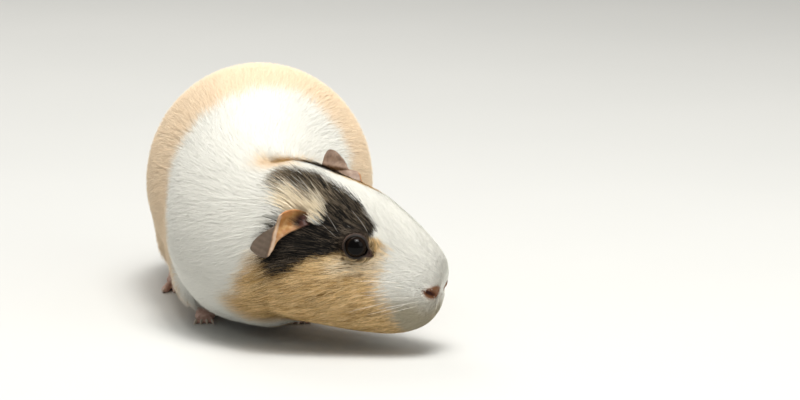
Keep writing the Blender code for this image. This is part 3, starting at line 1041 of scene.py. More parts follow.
MAP_MARGIN = 0.03
MAP_SPAN = 1 - 2 * MAP_MARGIN
LINE_START = -6  # where the map starts and ends along the middle line, in millimetres
LINE_END = line_far[-1] / MM + 18
unrolled_u = np.clip((line_at.far - LINE_START) / (LINE_END - LINE_START), 0, 1)
unrolled_v = line_at.round / (2 * math.pi) + 0.5
region = region_numbers(line_at)
on_top = soft_step(np.cos(line_at.round), 0.1, 0.9) * soft_step(line_at.far, 120, 170)
for name, rows in (
    ("hair", length * MM),
    ("loft", depth * (1 + TOP_LOFT * on_top) * MM),
    ("crowd", crowd),
    ("unrolled_u", unrolled_u * MAP_SPAN + MAP_MARGIN),
    ("unrolled_v", unrolled_v * MAP_SPAN + MAP_MARGIN),
    ("region", region),
    *BEDS.items(),
):
    keep_on(skin.data, name, rows.astype(np.float32), "FLOAT")
keep_on(skin.data, "lie", ways.astype(np.float32), "FLOAT_VECTOR")
keep_on(skin.data, "outward", normals.astype(np.float32), "FLOAT_VECTOR")
for number, name in enumerate(REGIONS):
    print(name, "grows on", int((region == number).sum()), "points")

# %% [markdown]
# ## Markings
#
# This animal is white with buff cheeks, a buff rump and black bars through the eyes and over the
# crown. Skin and hair take their colour from the same formula of place, so that they agree: a
# tuft reads the formula at its root. A place on the head is written as how far behind the nose
# it is and how far round the head, and a bar is the distance from a short line between two such
# places. Noise bends every border. Along the borders each tuft also gets a small push of its own,
# so that single hairs of one colour lie among those of the other, as they do on a real coat.

# %% Colours and bars of the coat
WHITE = (0.885, 0.878, 0.82)
BUFF = (0.62, 0.375, 0.13)
PALE_BUFF = (0.86, 0.64, 0.345)
# darker buff low on the cheek: partly the coat's own deeper tone, partly painted shade towards the
# floor
LOW_CHEEK_SHADE_BUFF = (0.40, 0.25, 0.075)
CREAM = (0.885, 0.72, 0.52)
BLACK = (0.006, 0.005, 0.004)
# brown strands on the black crown: partly brown hair, partly a painted sheen
CROWN_BROWN_SHEEN = (0.44, 0.34, 0.215)
# grey hair under the chin and lower muzzle, darkened further by painted shade under the head
CHIN_SHADE_GREY = (0.48, 0.43, 0.315)
EAR_CREAM = (0.93, 0.815, 0.61)
LID_HAIR = (0.045, 0.032, 0.022)
HEAD_GIRTH = 28  # millimetres for one radian round the head
BORDER_SIZE = 0.11  # noise cells per millimetre
BORDER_WANDER = 7.0  # millimetres

Bar = namedtuple("Bar", "start end radius")
# how far behind the nose tip, and how far round the head from its level; then the half width
BLACK_BARS = (
    Bar((29, 22.5), (38, 27), 4.6),
    Bar((36, 25.5), (51, 31), 6.6),
    Bar((51, 31), (60, 29), 4.6),
    Bar((34, 18), (37.5, 17.5), 8.0),
    Bar((38, 14), (55, -0.5), 6.2),
    Bar((45, 12.5), (54, 11), 4.0),
)
CREAM_BAR = Bar((48.5, 21.5), (58, 20.5), 4.3)
UNDER_EYE = Bar((20, 4.5), (34, 1.5), 5.5)  # how far back, and up, on the head
LEFT_BARS = (
    Bar((30, 20), (56, 38), 8.5),
    Bar((33, 14), (57, 2), 8.0),
)
print("black bars:", len(BLACK_BARS), "on the right and", len(LEFT_BARS), "on the left")


# %% Distances that the markings are drawn by
def head_terms(graph, place):
    """How far back, out and up a place is on the head, in millimetres, as sums."""
    reach = place - tuple(v / MM for v in NOSE_TIP)
    return reach.dot(tuple(-AHEAD)), reach.dot(tuple(HEAD_LEFT)), reach.dot(tuple(HEAD_UP))


def bar_distance(graph, x, y, bar):
    """Distance in a plane from the line between the ends of a bar."""
    (x0, y0), (x1, y1) = bar.start, bar.end
    dx, dy = x1 - x0, y1 - y0
    share = ((x - x0) * dx + (y - y0) * dy) / (dx * dx + dy * dy)
    share = graph.larger(graph.smaller(share, 1.0), 0.0)
    off_x, off_y = x - x0 - share * dx, y - y0 - share * dy
    return (off_x * off_x + off_y * off_y) ** 0.5


def bars_mask(graph, x, y, bars, soft):
    mask = None
    for bar in bars:
        one = bar_distance(graph, x, y, bar).step(bar.radius + soft, bar.radius - soft)
        mask = one if mask is None else graph.larger(mask, one)
    return mask


def lid_distance(graph, place, side, groove, width):
    """How far off the gaze line a place is, less a groove that runs out towards the nose, and
    how much of that groove and of this side of the head there is here."""
    middle, gaze, ahead, above = gaze_frame(side)
    reach = place - tuple(v / MM for v in middle)
    fore, rise = reach.dot(tuple(ahead)), reach.dot(tuple(above))
    out = (fore * fore + rise * rise) ** 0.5
    turn = graph.math("ARCTAN2", rise, fore) - CORNER_TURN
    corner = graph.math("EXPONENT", turn * turn * (-1 / width**2))
    near = reach.dot(tuple(gaze)).step(BEHIND_EYE, BEHIND_EYE + 2)
    return out - corner * groove, corner, near


# %% The buff, cream and black areas
# A place on this animal, as sums: on the head, round it, in the frame, and 1 on the right side
Spot = namedtuple("Spot", "back out up round x y z right")
CHEEK_STARTS = (16.0, 20.5)  # behind the nose tip
CHEEK_LEAN = 0.55  # it starts farther back above this band of heights on the head, and below it
CHEEK_BAND = (-4, 6)
CHEEK_ENDS = (-16.5, -10.5)  # along x in the frame, on a border that leans
CHEEK_REAR_LEAN = (0.1, 0.8, 24)  # below a height, more above it, and that height
CHEEK_TOP = 17.5  # round the head, and lower behind the ear
FAR_CHEEK_STARTS = 30  # behind the nose tip
FAR_CHEEK_ENDS = (78, 70)
BORDER_JITTER = 5.0  # millimetres that the hairs along a border are mixed over
RUMP_JITTER = 6.0
CREAM_NAPE = 64  # behind the nose tip
RUMP_SLANT = 0.58  # the rump's edge comes forward on the right side
FRINGE = (2.0, 6.0)  # how much a bar's hairs mix into the white, and how much more behind the eye


def spot_at(graph, place):
    """The terms of a place in millimetres, after noise has moved it a little."""
    wander = graph.noise(place, BORDER_SIZE, 3, out="Color") - (0.5, 0.5, 0.5)
    place = place + wander * BORDER_WANDER
    back, out, up = head_terms(graph, place)
    round_head = graph.math("ARCTAN2", up, abs(out)) * HEAD_GIRTH
    return place, Spot(back, out, up, round_head, *graph.axes(place), out.step(0.5, -0.5))


def buff_mask(graph, spot, soft, jitter):
    """The right cheek, behind the muzzle and below the crown, and all of the left cheek."""
    back, up = spot.back, spot.up
    low, high = CHEEK_BAND
    outside = graph.larger(up - high, 0.0) * CHEEK_LEAN, graph.smaller(up - low, 0.0) * CHEEK_LEAN
    front = back - outside[0] - outside[1]
    lean, more, height = CHEEK_REAR_LEAN
    across = spot.x + spot.z * lean - graph.larger(spot.z - height, 0.0) * more
    start, full = CHEEK_STARTS
    cheek = (front + jitter * BORDER_JITTER).step(start - soft, full + soft * 2)
    full, end = CHEEK_ENDS
    cheek = cheek * across.step(full - soft * 3, end + soft * 3)
    top = graph.smaller(CHEEK_TOP, 15 - (back - 38) * 0.5)
    cheek = cheek * (spot.round - top).step(soft, -soft) * (back * 0.35 + spot.out).step(14, 4)
    start = FAR_CHEEK_STARTS
    far_cheek = (1 - spot.right) * back.step(start - soft, start + soft)
    far_cheek = far_cheek * back.step(*FAR_CHEEK_ENDS)
    return graph.larger(cheek, far_cheek)


def cream_mask(graph, spot, soft, jitter):
    """The rump with the back behind the shoulders, and a spot on the nape."""
    back, z = spot.back, spot.z
    nape = (back - CREAM_NAPE).step(-6, 2) * abs(spot.out + 1).step(9, 3)
    nape = nape * spot.up.step(18, 24) * back.step(84, 76)
    sag = graph.smaller(graph.larger(62 - z, 0.0), 20.0) * 1.3
    tuck = graph.smaller(graph.larger(42 - z, 0.0), 25.0) * 0.9
    edge = spot.y - graph.smaller(spot.x, 0.0) * RUMP_SLANT + sag - tuck
    return graph.larger((edge + jitter * RUMP_JITTER).step(-5 - soft * 2, 4 + soft * 2), nape)


def black_mask(graph, spot, soft, jitter):
    """The bars through the eye, over the crown and below the ear, different on either side."""
    fringed = spot.round + jitter * (spot.back.step(30, 50) * FRINGE[1] + FRINGE[0])
    black = bars_mask(graph, spot.back, fringed, BLACK_BARS, soft) * spot.right
    left_black = bars_mask(graph, spot.back, fringed, LEFT_BARS, soft) * (1 - spot.right)
    return graph.larger(black, left_black)


print("a place has", len(Spot._fields), "terms")


# %% The colour of the coat at a place
LOW_CHEEK_SHADE_SHARE = 0.4  # of the darker buff low on the cheek: partly its own deeper tone, partly painted shade
UNDER_EYE_CORE = 1.5
CREAM_SHARE = 0.85
TUFT_JITTER = 4.5
CROWN_ROUND = (19, 25)  # round the head, where the brown streaks of the crown, partly a painted sheen, start
CROWN_BACK = ((24, 34, 0.25), (36, 50, 0.75))  # behind the nose tip, and how much they add
CROWN_STRANDS = (-0.06, 0.30)  # of a tuft's jitter
CROWN_SHARE = 0.9
LID_RING = (6.4, 5.0)  # short dark hair, out from the gaze line
LID_RING_SHARE = 0.75


def markings(graph, place, soft, jitter=0.0):
    """The coat's colour at a place, and how black and buff it is there. Soft blurs the borders,
    in millimetres, and a tuft's own jitter, from -0.5 to 0.5, mixes the hairs along them."""
    jitter = graph.math("ADD", jitter, 0.0)
    lids = [lid_distance(graph, place, side, TEAR_GROOVE, CORNER_WIDTH) for side in SIDES]
    place, spot = spot_at(graph, place)
    back, up = spot.back, spot.up
    buff = buff_mask(graph, spot, soft, jitter)
    tone = graph.mix(graph.noise(place, 0.8, 2).step(0.35, 0.65), BUFF, PALE_BUFF)
    # partly painted shade: the buff darkens low on the cheek, towards the floor, besides its own
    # deeper tone
    tone = graph.mix(spot.z.step(28, 8) * LOW_CHEEK_SHADE_SHARE, tone, LOW_CHEEK_SHADE_BUFF)
    under_eye = bar_distance(graph, back, up, UNDER_EYE).step(UNDER_EYE.radius, UNDER_EYE_CORE)
    tone = graph.mix(under_eye * CREAM_SHARE, tone, EAR_CREAM)
    colour = graph.mix(cream_mask(graph, spot, soft, jitter), WHITE, CREAM)
    # grey hair and painted shade under the chin and lower muzzle
    colour = graph.mix(up.step(-3, -13) * back.step(20, 9), colour, CHIN_SHADE_GREY)
    colour = graph.mix(buff, colour, tone)
    fringed = spot.round + jitter * TUFT_JITTER
    ear_tuft = bars_mask(graph, back, fringed, (CREAM_BAR,), soft) * spot.right
    colour = graph.mix(ear_tuft, colour, EAR_CREAM)
    black = black_mask(graph, spot, soft, jitter) * (1 - ear_tuft * CREAM_SHARE)
    # brown streaks on the black crown: partly brown hair, partly a painted sheen
    (start, full, first), (more, most, rest) = CROWN_BACK
    crown = back.step(start, full) * first + back.step(more, most) * rest
    crown = spot.round.step(*CROWN_ROUND) * crown * spot.right * jitter.step(*CROWN_STRANDS)
    colour = graph.mix(black, colour, graph.mix(crown * CROWN_SHARE, BLACK, CROWN_BROWN_SHEEN))
    for out, _, near in lids:
        ring = (out + jitter * 1.2).step(*LID_RING) * near
        colour = graph.mix(ring * LID_RING_SHARE, colour, LID_HAIR)
    return colour, black, buff * (1 - black)


# %% [markdown]
# ## The finish of the skin
#
# Real skin is pink under the coat. Here it is painted in the colours of the hair that grows on it
# with a little pink, so that a gap between two tufts doesn't show. It is nearly black on the
# lids, brown-pink round the nostrils and dark red in them, where there is no hair to hide it. A
# fine bump stands for pores and stubble.

# %% Colours of bare skin
LID_RIM = (0.009, 0.0065, 0.005)
LID_SKIN = (0.024, 0.0165, 0.012)
EYE_CORNER = (0.055, 0.026, 0.017)
NOSE_SKIN = (0.165, 0.066, 0.022)
NOSE_CORE = (0.145, 0.052, 0.018)
NOSTRIL_SKIN = (0.045, 0.010, 0.006)
LIP_SKIN = (0.20, 0.085, 0.06)
SKIN_PINK = (0.66, 0.40, 0.32)
LID_GROOVE = 1.2  # how far the rim of the lid runs into the corner
LID_GROOVE_WIDTH = 0.26
SLIT_MIDDLE = (7.4, -4.1)  # of a nostril: out and up on the head
SLIT_SHAPE = (3.03, 0.85, 0.35)  # its half length, half height and slant
LIP_LEVELS = (-5.2, -6.4, -14.4, -13.4)  # up on the head: the split starts, is full, ends, is full
LIP_WIDTHS = (1.2, 0.2)  # of the split, out on the head, from its edge to its middle
LIP_SHARE = 0.6
MOUTH_LEVEL = -13.7
MOUTH_SLANT = 0.28
MOUTH_WIDTHS = (1.3, 0.3)
MOUTH_ENDS = (6.0, 3.0)
LIPS_END = (8, 6)  # behind the nose tip
NOSTRILS_END = (9, 7)
RIM_ENDS = (4.9, 4.3)  # out from the gaze line
CORNER_STARTS = (3.3, 4.2)
# from the outside of each in: the pad, its reddish core and the slit, in shares of their reach
PAD_EDGE = (1.25, 0.7)
CORE_EDGE = (2.6, 0.9)
SLIT_EDGE = (1.15, 0.6)
print("bare skin reaches", LID_BARE, "mm from the line of gaze")


# %% Lids, nose and lips
def lid_colours(graph, place, colour):
    """The colour, darkened on the lids: black at the rim, grey-brown beyond, brown in the corner."""
    for side in SIDES:
        out, corner, near = lid_distance(graph, place, side, LID_GROOVE, LID_GROOVE_WIDTH)
        tear = out - corner * (TEAR_GROOVE - LID_GROOVE)
        ring = tear.step(LID_BARE + 0.5, LID_BARE - 0.3) * near
        skin = graph.mix(out.step(*RIM_ENDS), LID_SKIN, LID_RIM)
        skin = graph.mix(corner * out.step(*CORNER_STARTS), skin, EYE_CORNER)
        colour = graph.mix(ring, colour, skin)
    return colour


def nose_colours(graph, place, colour):
    """The colour, pink-brown on the nose pad and dark red in the nostrils."""
    back, out, up = head_terms(graph, place)
    out = abs(out)
    x, y, z = (
        (term - middle) / reach
        for term, middle, reach in zip((back, out, up), NOSE_PAD, NOSE_PAD_REACH)
    )
    pad = (x * x + y * y + z * z) ** 0.5
    half_length, half_height, slant = SLIT_SHAPE
    along = (out - SLIT_MIDDLE[0]) / half_length
    level = (up - SLIT_MIDDLE[1] - (out - SLIT_MIDDLE[0]) * slant) / half_height
    slit = (along * along + level * level) ** 0.5
    colour = graph.mix(pad.step(*PAD_EDGE), colour, NOSE_SKIN)
    for edge, tone in ((CORE_EDGE, NOSE_CORE), (SLIT_EDGE, NOSTRIL_SKIN)):
        colour = graph.mix(slit.step(*edge) * back.step(*NOSTRILS_END), colour, tone)
    start, full, end, still_full = LIP_LEVELS
    lip = out.step(*LIP_WIDTHS) * up.step(start, full) * up.step(end, still_full)
    mouth = abs(up - MOUTH_LEVEL + out * MOUTH_SLANT).step(*MOUTH_WIDTHS) * out.step(*MOUTH_ENDS)
    lips = graph.larger(lip * LIP_SHARE, mouth) * back.step(*LIPS_END)
    return graph.mix(lips, colour, LIP_SKIN)


# %% The skin's finish as a whole
PINK_SHARE = 0.16
SKIN_SOFT = 1.2  # millimetres that the borders of the markings are blurred by


def skin_finish():
    made, graph, shader = finish_with(
        "skin_under_coat", WHITE, Roughness=0.62, Specular_IOR_Level=0.3
    )
    place = object_place(graph)
    colour, _, _ = markings(graph, place, SKIN_SOFT)
    colour = graph.mix(PINK_SHARE, colour, SKIN_PINK)
    paint(graph, shader, nose_colours(graph, place, lid_colours(graph, place, colour)))
    emboss(graph, shader, graph.noise(place, 2.2, 3), 0.25, 0.2 * MM)
    return made


skin.data.materials.clear()
dress(skin, skin_finish(), "white_coat", *FLESH)
print("skin dressed; faces:", len(skin.data.polygons))

# %% [markdown]
# ## The eyes
#
# A guinea pig's eye looks black all over: the dark brown iris can hardly be told from the pupil.
# The eyeball is turned about the line of gaze, with a cornea that stands a little proud, and has
# a wet outer gloss. The brown ring of the iris is painted by distance from the line of gaze.

# %% Eyeballs
EYE_RINGS = 40
EYE_SIDES = 64
CORNEA_RISE = 0.35
CORNEA_WIDTH = 0.9


def eyeball(side):
    middle, gaze, ahead, above = gaze_frame(side)
    form = bmesh.new()
    rows = []
    for k in range(1, EYE_RINGS):
        polar = math.pi * k / EYE_RINGS
        radius = EYE_RADIUS + CORNEA_RISE * math.exp(-((polar / CORNEA_WIDTH) ** 4))
        along, out = radius * math.cos(polar), radius * math.sin(polar)
        rims = [(ahead * math.cos(t) + above * math.sin(t)) * out for t in ring_angles(EYE_SIDES)]
        rows.append([form.verts.new(middle + MM * (gaze * along + rim)) for rim in rims])
    poles = [form.verts.new(middle + gaze * (EYE_RADIUS + CORNEA_RISE) * MM)]
    poles.append(form.verts.new(middle - gaze * EYE_RADIUS * MM))
    join_rows(form, rows, closed=True)
    for pole, row in zip(poles, (rows[0], rows[-1])):
        for j in range(EYE_SIDES):
            form.faces.new((pole, row[j], row[j - 1]))
    bmesh.ops.recalc_face_normals(form, faces=form.faces)
    made = add_form(f"eyeball_{side}", form)
    made.data.shade_smooth()
    return made


EYE_BLACK = (0.0015, 0.001, 0.001)
IRIS_DARK = (0.005, 0.003, 0.002)
IRIS_LIGHT = (0.014, 0.008, 0.005)
IRIS_INNER = (2.7, 3.3)  # off the gaze line, in millimetres
IRIS_OUTER = (4.4, 3.9)


def eye_finish(side):
    middle, gaze, _, _ = gaze_frame(side)
    gloss = dict(Specular_IOR_Level=0.0, Coat_Weight=0.22, Coat_Roughness=0.02)
    made, graph, shader = finish_with(f"eye_{side}_wet", EYE_BLACK, Roughness=0.18, **gloss)
    reach = object_place(graph) - tuple(v / MM for v in middle)
    off_gaze = graph.vector_math("LENGTH", reach.cross(tuple(gaze)), out="Value")
    iris = off_gaze.step(*IRIS_INNER) * off_gaze.step(*IRIS_OUTER)
    fibre = graph.noise(reach, 1.4, 3)
    paint(graph, shader, graph.mix(iris, EYE_BLACK, graph.mix(fibre, IRIS_DARK, IRIS_LIGHT)))
    return made


for side in SIDES:
    dress(eyeball(side), eye_finish(side), "eye", f"eye_{side}")
print("eyeballs:", EYE_RADIUS * 2, "mm across")

# %% [markdown]
# ## The ears
#
# An ear is a thin petal of nearly bare skin. Its hollow faces out, its upper edge rolls over,
# and the tip hangs like a flap below a crease. Each ear follows the place, droop and flare of
# its solid. A grid of points bent by formulas gives the form, and Solidify gives the wall.

# %% The ear's outline, and how each ear hangs
EAR_ROOT = (52.2, 23.5, 16.5)
# along the ear from its root, then across it to its upper and lower edges, in millimetres
EAR_OUTLINE = (
    (-3.5, 1.0, -2.4),
    (-0.9, 2.2, -2.7),
    (1.6, 3.6, -2.6),
    (4.4, 5.0, -2.4),
    (7.2, 5.5, -2.2),
    (9.8, 4.9, -2.2),
    (12.4, 2.9, -2.6),
    (15.2, 2.3, -3.6),
    (18.2, 2.2, -5.8),
    (20.8, 1.8, -6.9),
    (23.4, 0.9, -5.4),
    (25.0, -0.4, -2.6),
    (25.4, -1.0, -1.6),
)
EAR_WALL = 0.6
EAR_CREASE = 11.7  # how far along the crease starts at the upper edge
CREASE_TOP = 3.0
CREASE_SLANT = 0.84
EarSet = namedtuple("EarSet", "droop flare roll")
EAR_SETS = {"left": EarSet(-40, 26, -10), "right": EarSet(39.5, 28, -8)}
EAR_STEPS = 56
EAR_RIBS = 32


def ear_frame(side):
    """The ear's root, and its directions along, across to the upper edge, and out of its face."""
    sign = SIDES[side]
    droop, flare, roll = (math.radians(angle) for angle in EAR_SETS[side])
    outward = HEAD_LEFT * sign
    along = -AHEAD * math.cos(droop) - HEAD_UP * math.sin(droop)
    along = (along * math.cos(flare) + outward * math.sin(flare)).normalized()
    face = (outward - along * outward.dot(along)).normalized()
    across = along.cross(face)
    if across.dot(HEAD_UP) < 0:
        across = -across
    turned_face = face * math.cos(roll) - across * math.sin(roll)
    turned_across = across * math.cos(roll) + face * math.sin(roll)
    back, out, up = EAR_ROOT
    return on_head(back, out * sign, up), along, turned_across, turned_face


for side in SIDES:
    print("the", side, "ear runs along", ear_frame(side)[1])


# %% Ear form
# The rises of an ear out of its plane, in millimetres, each with its reach.
HOLLOW = (1.7, 17)  # deep, and long
CURL = (5.5, 0.35)  # the upper edge rolls in, from this share of the width
CREASE_RIDGE = (0.9, 0.8)
TIP_HANG = (0.34, 0.011)  # how much the tip leans out with width, and bends in with length
ROOT_DEEP = 4.0
RIPPLES = ((0.16, 1.1, 0.9), (0.10, 2.3, -1.7))  # high, and how fast along and across


def ear_rise(x, y, upper, lower):
    """How far the ear stands out of its plane at a place in it, in millimetres."""
    s = (y - lower) / max(upper - lower, 0.1) * 2 - 1
    fold = x - EAR_CREASE + (y - CREASE_TOP) * CREASE_SLANT
    flap = float(soft_step(fold, -0.5, 2.5))
    deep, reach = HOLLOW
    inward = math.sin(math.pi * min(max((x + 3) / reach, 0), 1))
    hollow = -deep * (1 - ((s - 0.1) / 1.1) ** 2) * inward
    high, start = CURL
    curl = high * max(s - start, 0) ** 1.6 * soft_step(x, -1, 3) * (1 - soft_step(x, 9, 13))
    ridge = CREASE_RIDGE[0] * math.exp(-((fold / CREASE_RIDGE[1]) ** 2))
    hang = TIP_HANG[0] * y * flap - TIP_HANG[1] * max(fold, 0) ** 2 + 0.5 * flap
    base = -ROOT_DEEP * (1 - float(soft_step(x, -3.5, 2.5)))
    ripple = sum(high * math.sin(fast * x + slow * y) for high, fast, slow in RIPPLES)
    return hollow * (1 - flap) + float(curl) + ridge + hang + base + ripple


def ear_form(side):
    root, along, across, face = ear_frame(side)
    form = bmesh.new()
    layer = form.verts.layers.float_vector.new("ear_at")
    grid = []
    for x, upper, lower in catmull_rom(EAR_OUTLINE, EAR_STEPS + 1):
        row = []
        for j in range(EAR_RIBS + 1):
            y = lower + (upper - lower) * j / EAR_RIBS
            rise = ear_rise(x, y, upper, lower)
            vertex = form.verts.new(root + (along * x + across * y + face * rise) * MM)
            vertex[layer] = Vector((x, y, 0))
            row.append(vertex)
        grid.append(row)
    join_rows(form, grid)
    obj = add_form(f"ear_skin_{side}", form)
    wall = obj.modifiers.new("wall", "SOLIDIFY")
    wall.thickness = EAR_WALL * MM
    wall.offset = 0
    settled(obj)
    form = bmesh.new()
    form.from_mesh(obj.data)
    bmesh.ops.recalc_face_normals(form, faces=form.faces)
    form.normal_update()
    layer = form.verts.layers.float_vector["ear_at"]
    for vertex in form.verts:
        vertex[layer] = Vector((*vertex[layer][:2], vertex.normal.dot(face)))
    form.to_mesh(obj.data)
    form.free()
    obj.data.shade_smooth()
    return obj


# %% Colours and borders of an ear
EAR_TAN = (0.38, 0.175, 0.05)
EAR_LIGHT = (0.50, 0.295, 0.115)
# the flap past the crease: its own grey-brown, darkened by painted shade as it faces down away from
# the light
EAR_FLAP_SHADE = (0.095, 0.066, 0.046)
# the crease: pink skin, lightened by a painted highlight where its ridge catches the light
EAR_CREASE_HIGHLIGHT = (0.52, 0.39, 0.29)
EAR_BACK = (0.24, 0.165, 0.125)
EAR_BACK_LIGHT = (0.36, 0.26, 0.20)
EAR_CURL = (0.50, 0.21, 0.08)
EAR_LOBE = (0.30, 0.16, 0.08)
EAR_HOLE = (0.050, 0.016, 0.010)
# mottle and tip of the flap, with the same painted shade
EAR_FLAP_SHADE_LIGHT = (0.16, 0.12, 0.09)
EAR_TIP_SHADE = (0.085, 0.06, 0.05)
HOLE_MIDDLE = (1.8, -0.6, 0.0)  # along and across the ear, in millimetres
HOLE_REACH = (6.0, 2.0)
CURL_EDGE = (3.2, 5.4)  # across the ear
LOBE_EDGE = (0.5, -2.6)
# past the crease, in millimetres
CREASE_HIGHLIGHT_EDGES = ((-1.2, -0.4), (0.7, 0.0))
FLAP_SHADE_STARTS = (-0.3, 1.2)
TIP_SHADE_STARTS = (9, 13)
CREASE_WANDER = 1.6
print("an ear turns grey", FLAP_SHADE_STARTS, "mm past its crease")


# %% Ear finish
def ear_finish(side):
    made, graph, shader = finish_with(
        f"ear_{side}_leather", EAR_TAN, Roughness=0.5, Specular_IOR_Level=0.3
    )
    at = graph.node("ShaderNodeAttribute", dict(attribute_name="ear_at"), "Vector")
    along, across, front = graph.axes(at)
    place = object_place(graph)
    mottle = graph.noise(place, 0.45, 3)
    fold = along - EAR_CREASE + (across - CREASE_TOP) * CREASE_SLANT + (mottle - 0.5) * CREASE_WANDER
    tan = graph.mix(mottle.step(0.35, 0.7), EAR_TAN, EAR_LIGHT)
    tan = graph.mix(across.step(*CURL_EDGE) * 0.7, tan, EAR_CURL)
    tan = graph.mix(across.step(*LOBE_EDGE) * 0.75, tan, EAR_LOBE)
    hole = graph.vector_math("LENGTH", (at - HOLE_MIDDLE) * (1.0, 1.0, 0.0), out="Value")
    tan = graph.mix(hole.step(*HOLE_REACH), tan, EAR_HOLE)
    # the skin's grey-brown and painted shade: past the crease the flap hangs away from the light,
    # darker still towards its tip
    grey = graph.mix(mottle, EAR_FLAP_SHADE, EAR_FLAP_SHADE_LIGHT)
    grey = graph.mix(fold.step(*TIP_SHADE_STARTS) * 0.6, grey, EAR_TIP_SHADE)
    colour = graph.mix(fold.step(*FLAP_SHADE_STARTS), tan, grey)
    # painted highlight on pink skin: a pale band along the crease's ridge
    crease = fold.step(*CREASE_HIGHLIGHT_EDGES[0]) * fold.step(*CREASE_HIGHLIGHT_EDGES[1])
    colour = graph.mix(crease * 0.8, colour, EAR_CREASE_HIGHLIGHT)
    behind = graph.mix(mottle.step(0.3, 0.7), EAR_BACK, EAR_BACK_LIGHT)
    paint(graph, shader, graph.mix(front.step(0.1, -0.3), colour, behind))
    emboss(graph, shader, graph.noise(place, 0.9, 4), 0.4, 0.3 * MM)
    return made


ears = {}
for side in SIDES:
    ears[side] = ear_form(side)
    dress(ears[side], ear_finish(side), "ear_skin", f"ear_{side}")
print("ears:", [len(ear.data.polygons) for ear in ears.values()], "faces")

# %% [markdown]
# ## Feet
#
# The feet are bare and pink-brown, with four toes in front and three behind. Each is a few
# swellings for heel, sole and toes, welded by a fine voxel remesh, and pressed flat where it
# stands. The toes fan out from the sole, and the same lines later carry the claws.

# %% Toes and swellings
Foot = namedtuple("Foot", "kind toes splay width length height")
FEET = (Foot("fore", 4, 9, 9, 15, 6.5), Foot("hind", 3, 12, 10.5, 35, 8))
TOE_SHARE = 0.36
FOOT_VOXEL = 0.42 * MM
FOOT_SMOOTHING = 4
# how far along the toe, how thick, and how high its middle lies
TOE_JOINTS = ((0.1, 1.05, 1.0), (0.5, 1.0, 0.95), (0.88, 0.95, 0.72))


def ball_into(form, middle, radii, turn=Matrix.Identity(3)):
    """Adds an ellipsoid to a bmesh, sizes in metres."""
    matrix = Matrix.Translation(middle) @ turn.to_4x4() @ Matrix.Diagonal((*radii, 1))
    bmesh.ops.create_uvsphere(form, u_segments=24, v_segments=14, radius=1, matrix=matrix)


def toe_lines(foot, side):
    """Where each toe of a foot starts and ends on the floor, and its heading."""
    sign = SIDES[side]
    low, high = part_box(f"{foot.kind}foot_{side}")
    heel = Vector(((low.x + high.x) / 2, high.y, 0))
    sole = (1 - TOE_SHARE) * foot.length * MM
    for k in range(foot.toes):
        angle = math.radians(sign * (k - (foot.toes - 1) / 2) * foot.splay)
        heading = Vector((math.sin(angle), -math.cos(angle), 0))
        start = heel + Vector((math.sin(angle) * foot.width * 0.9 * MM, -sole, 0))
        yield start, start + heading * foot.length * TOE_SHARE * MM, heading


for foot in FEET:
    print(foot.kind, "foot:", len(list(toe_lines(foot, "left"))), "toes,", foot.length, "mm long")


# %% Feet
def foot_form(foot, side):
    """A foot on the floor, in the place of its solid."""
    low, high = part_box(f"{foot.kind}foot_{side}")
    x, heel_y = (low.x + high.x) / 2, high.y
    sole = (1 - TOE_SHARE) * foot.length * MM
    tall, width = foot.height / 2 * MM, foot.width * MM
    thick = width / foot.toes * 0.5
    form = bmesh.new()
    for share, rise, radii in (
        (0.5, 0.75, (width * 0.46, sole * 0.6, tall * 0.9)),
        (0.2, 1.2, (width * 0.4, sole * 0.32, tall * 1.1)),
        (0.85, 0.6, (width * 0.48, width * 0.4, tall * 0.7)),
    ):
        ball_into(form, Vector((x, heel_y - sole * share, tall * rise)), radii)
    for start, end, heading in toe_lines(foot, side):
        turn = Matrix.Rotation(math.atan2(heading.y, heading.x), 3, "Z")
        reach = (end - start).length
        for share, fat, rise in TOE_JOINTS:
            middle = start + heading * reach * share + UP * thick * rise
            radii = (reach * 0.3 + thick * 0.4, thick * fat, thick * fat * 1.05)
            ball_into(form, middle, radii, turn)
        pad = end - heading * thick * 0.3 + UP * thick * 0.45
        ball_into(form, pad, (thick * 1.0, thick * 0.95, thick * 0.55), turn)
    obj = welded(add_form(f"{foot.kind}_foot_{side}", form), FOOT_VOXEL, FOOT_SMOOTHING)
    points = places_of(obj.data)
    points[:, 2] = np.maximum(points[:, 2], 0)
    set_places(obj.data, points)
    obj.data.shade_smooth()
    return obj


FOOT_PINK = ((0.60, 0.36, 0.29), (0.72, 0.50, 0.42))
FOOT_SOLE = (0.42, 0.24, 0.19)


def foot_finish():
    made, graph, shader = finish_with("foot_leather", SKIN_PINK, Roughness=0.55)
    place = object_place(graph)
    colour = graph.mix(graph.noise(place, 0.5, 3).step(0.3, 0.7), *FOOT_PINK)
    paint(graph, shader, graph.mix(graph.axes(place)[2].step(0.9, 0.2), colour, FOOT_SOLE))
    scales = graph.node(
        "ShaderNodeTexVoronoi", dict(feature="DISTANCE_TO_EDGE"), Vector=place, Scale=1.6
    )
    emboss(graph, shader, scales.step(0.0, 0.2), 0.5, 0.2 * MM)
    return made


FOOT_LEATHER = foot_finish()
for foot in FEET:
    for side in SIDES:
        made = foot_form(foot, side)
        dress(made, FOOT_LEATHER, "foot_skin", f"{foot.kind}foot_{side}")
        print(made.name, len(made.data.polygons), "faces")

# %% [markdown]
# ## Claws
#
# A claw is a horn that bends down and narrows to a blunt tip. It is swept along an arc from the
# end of its toe, ring by ring, a little taller than it is wide. Fine grain runs along it.

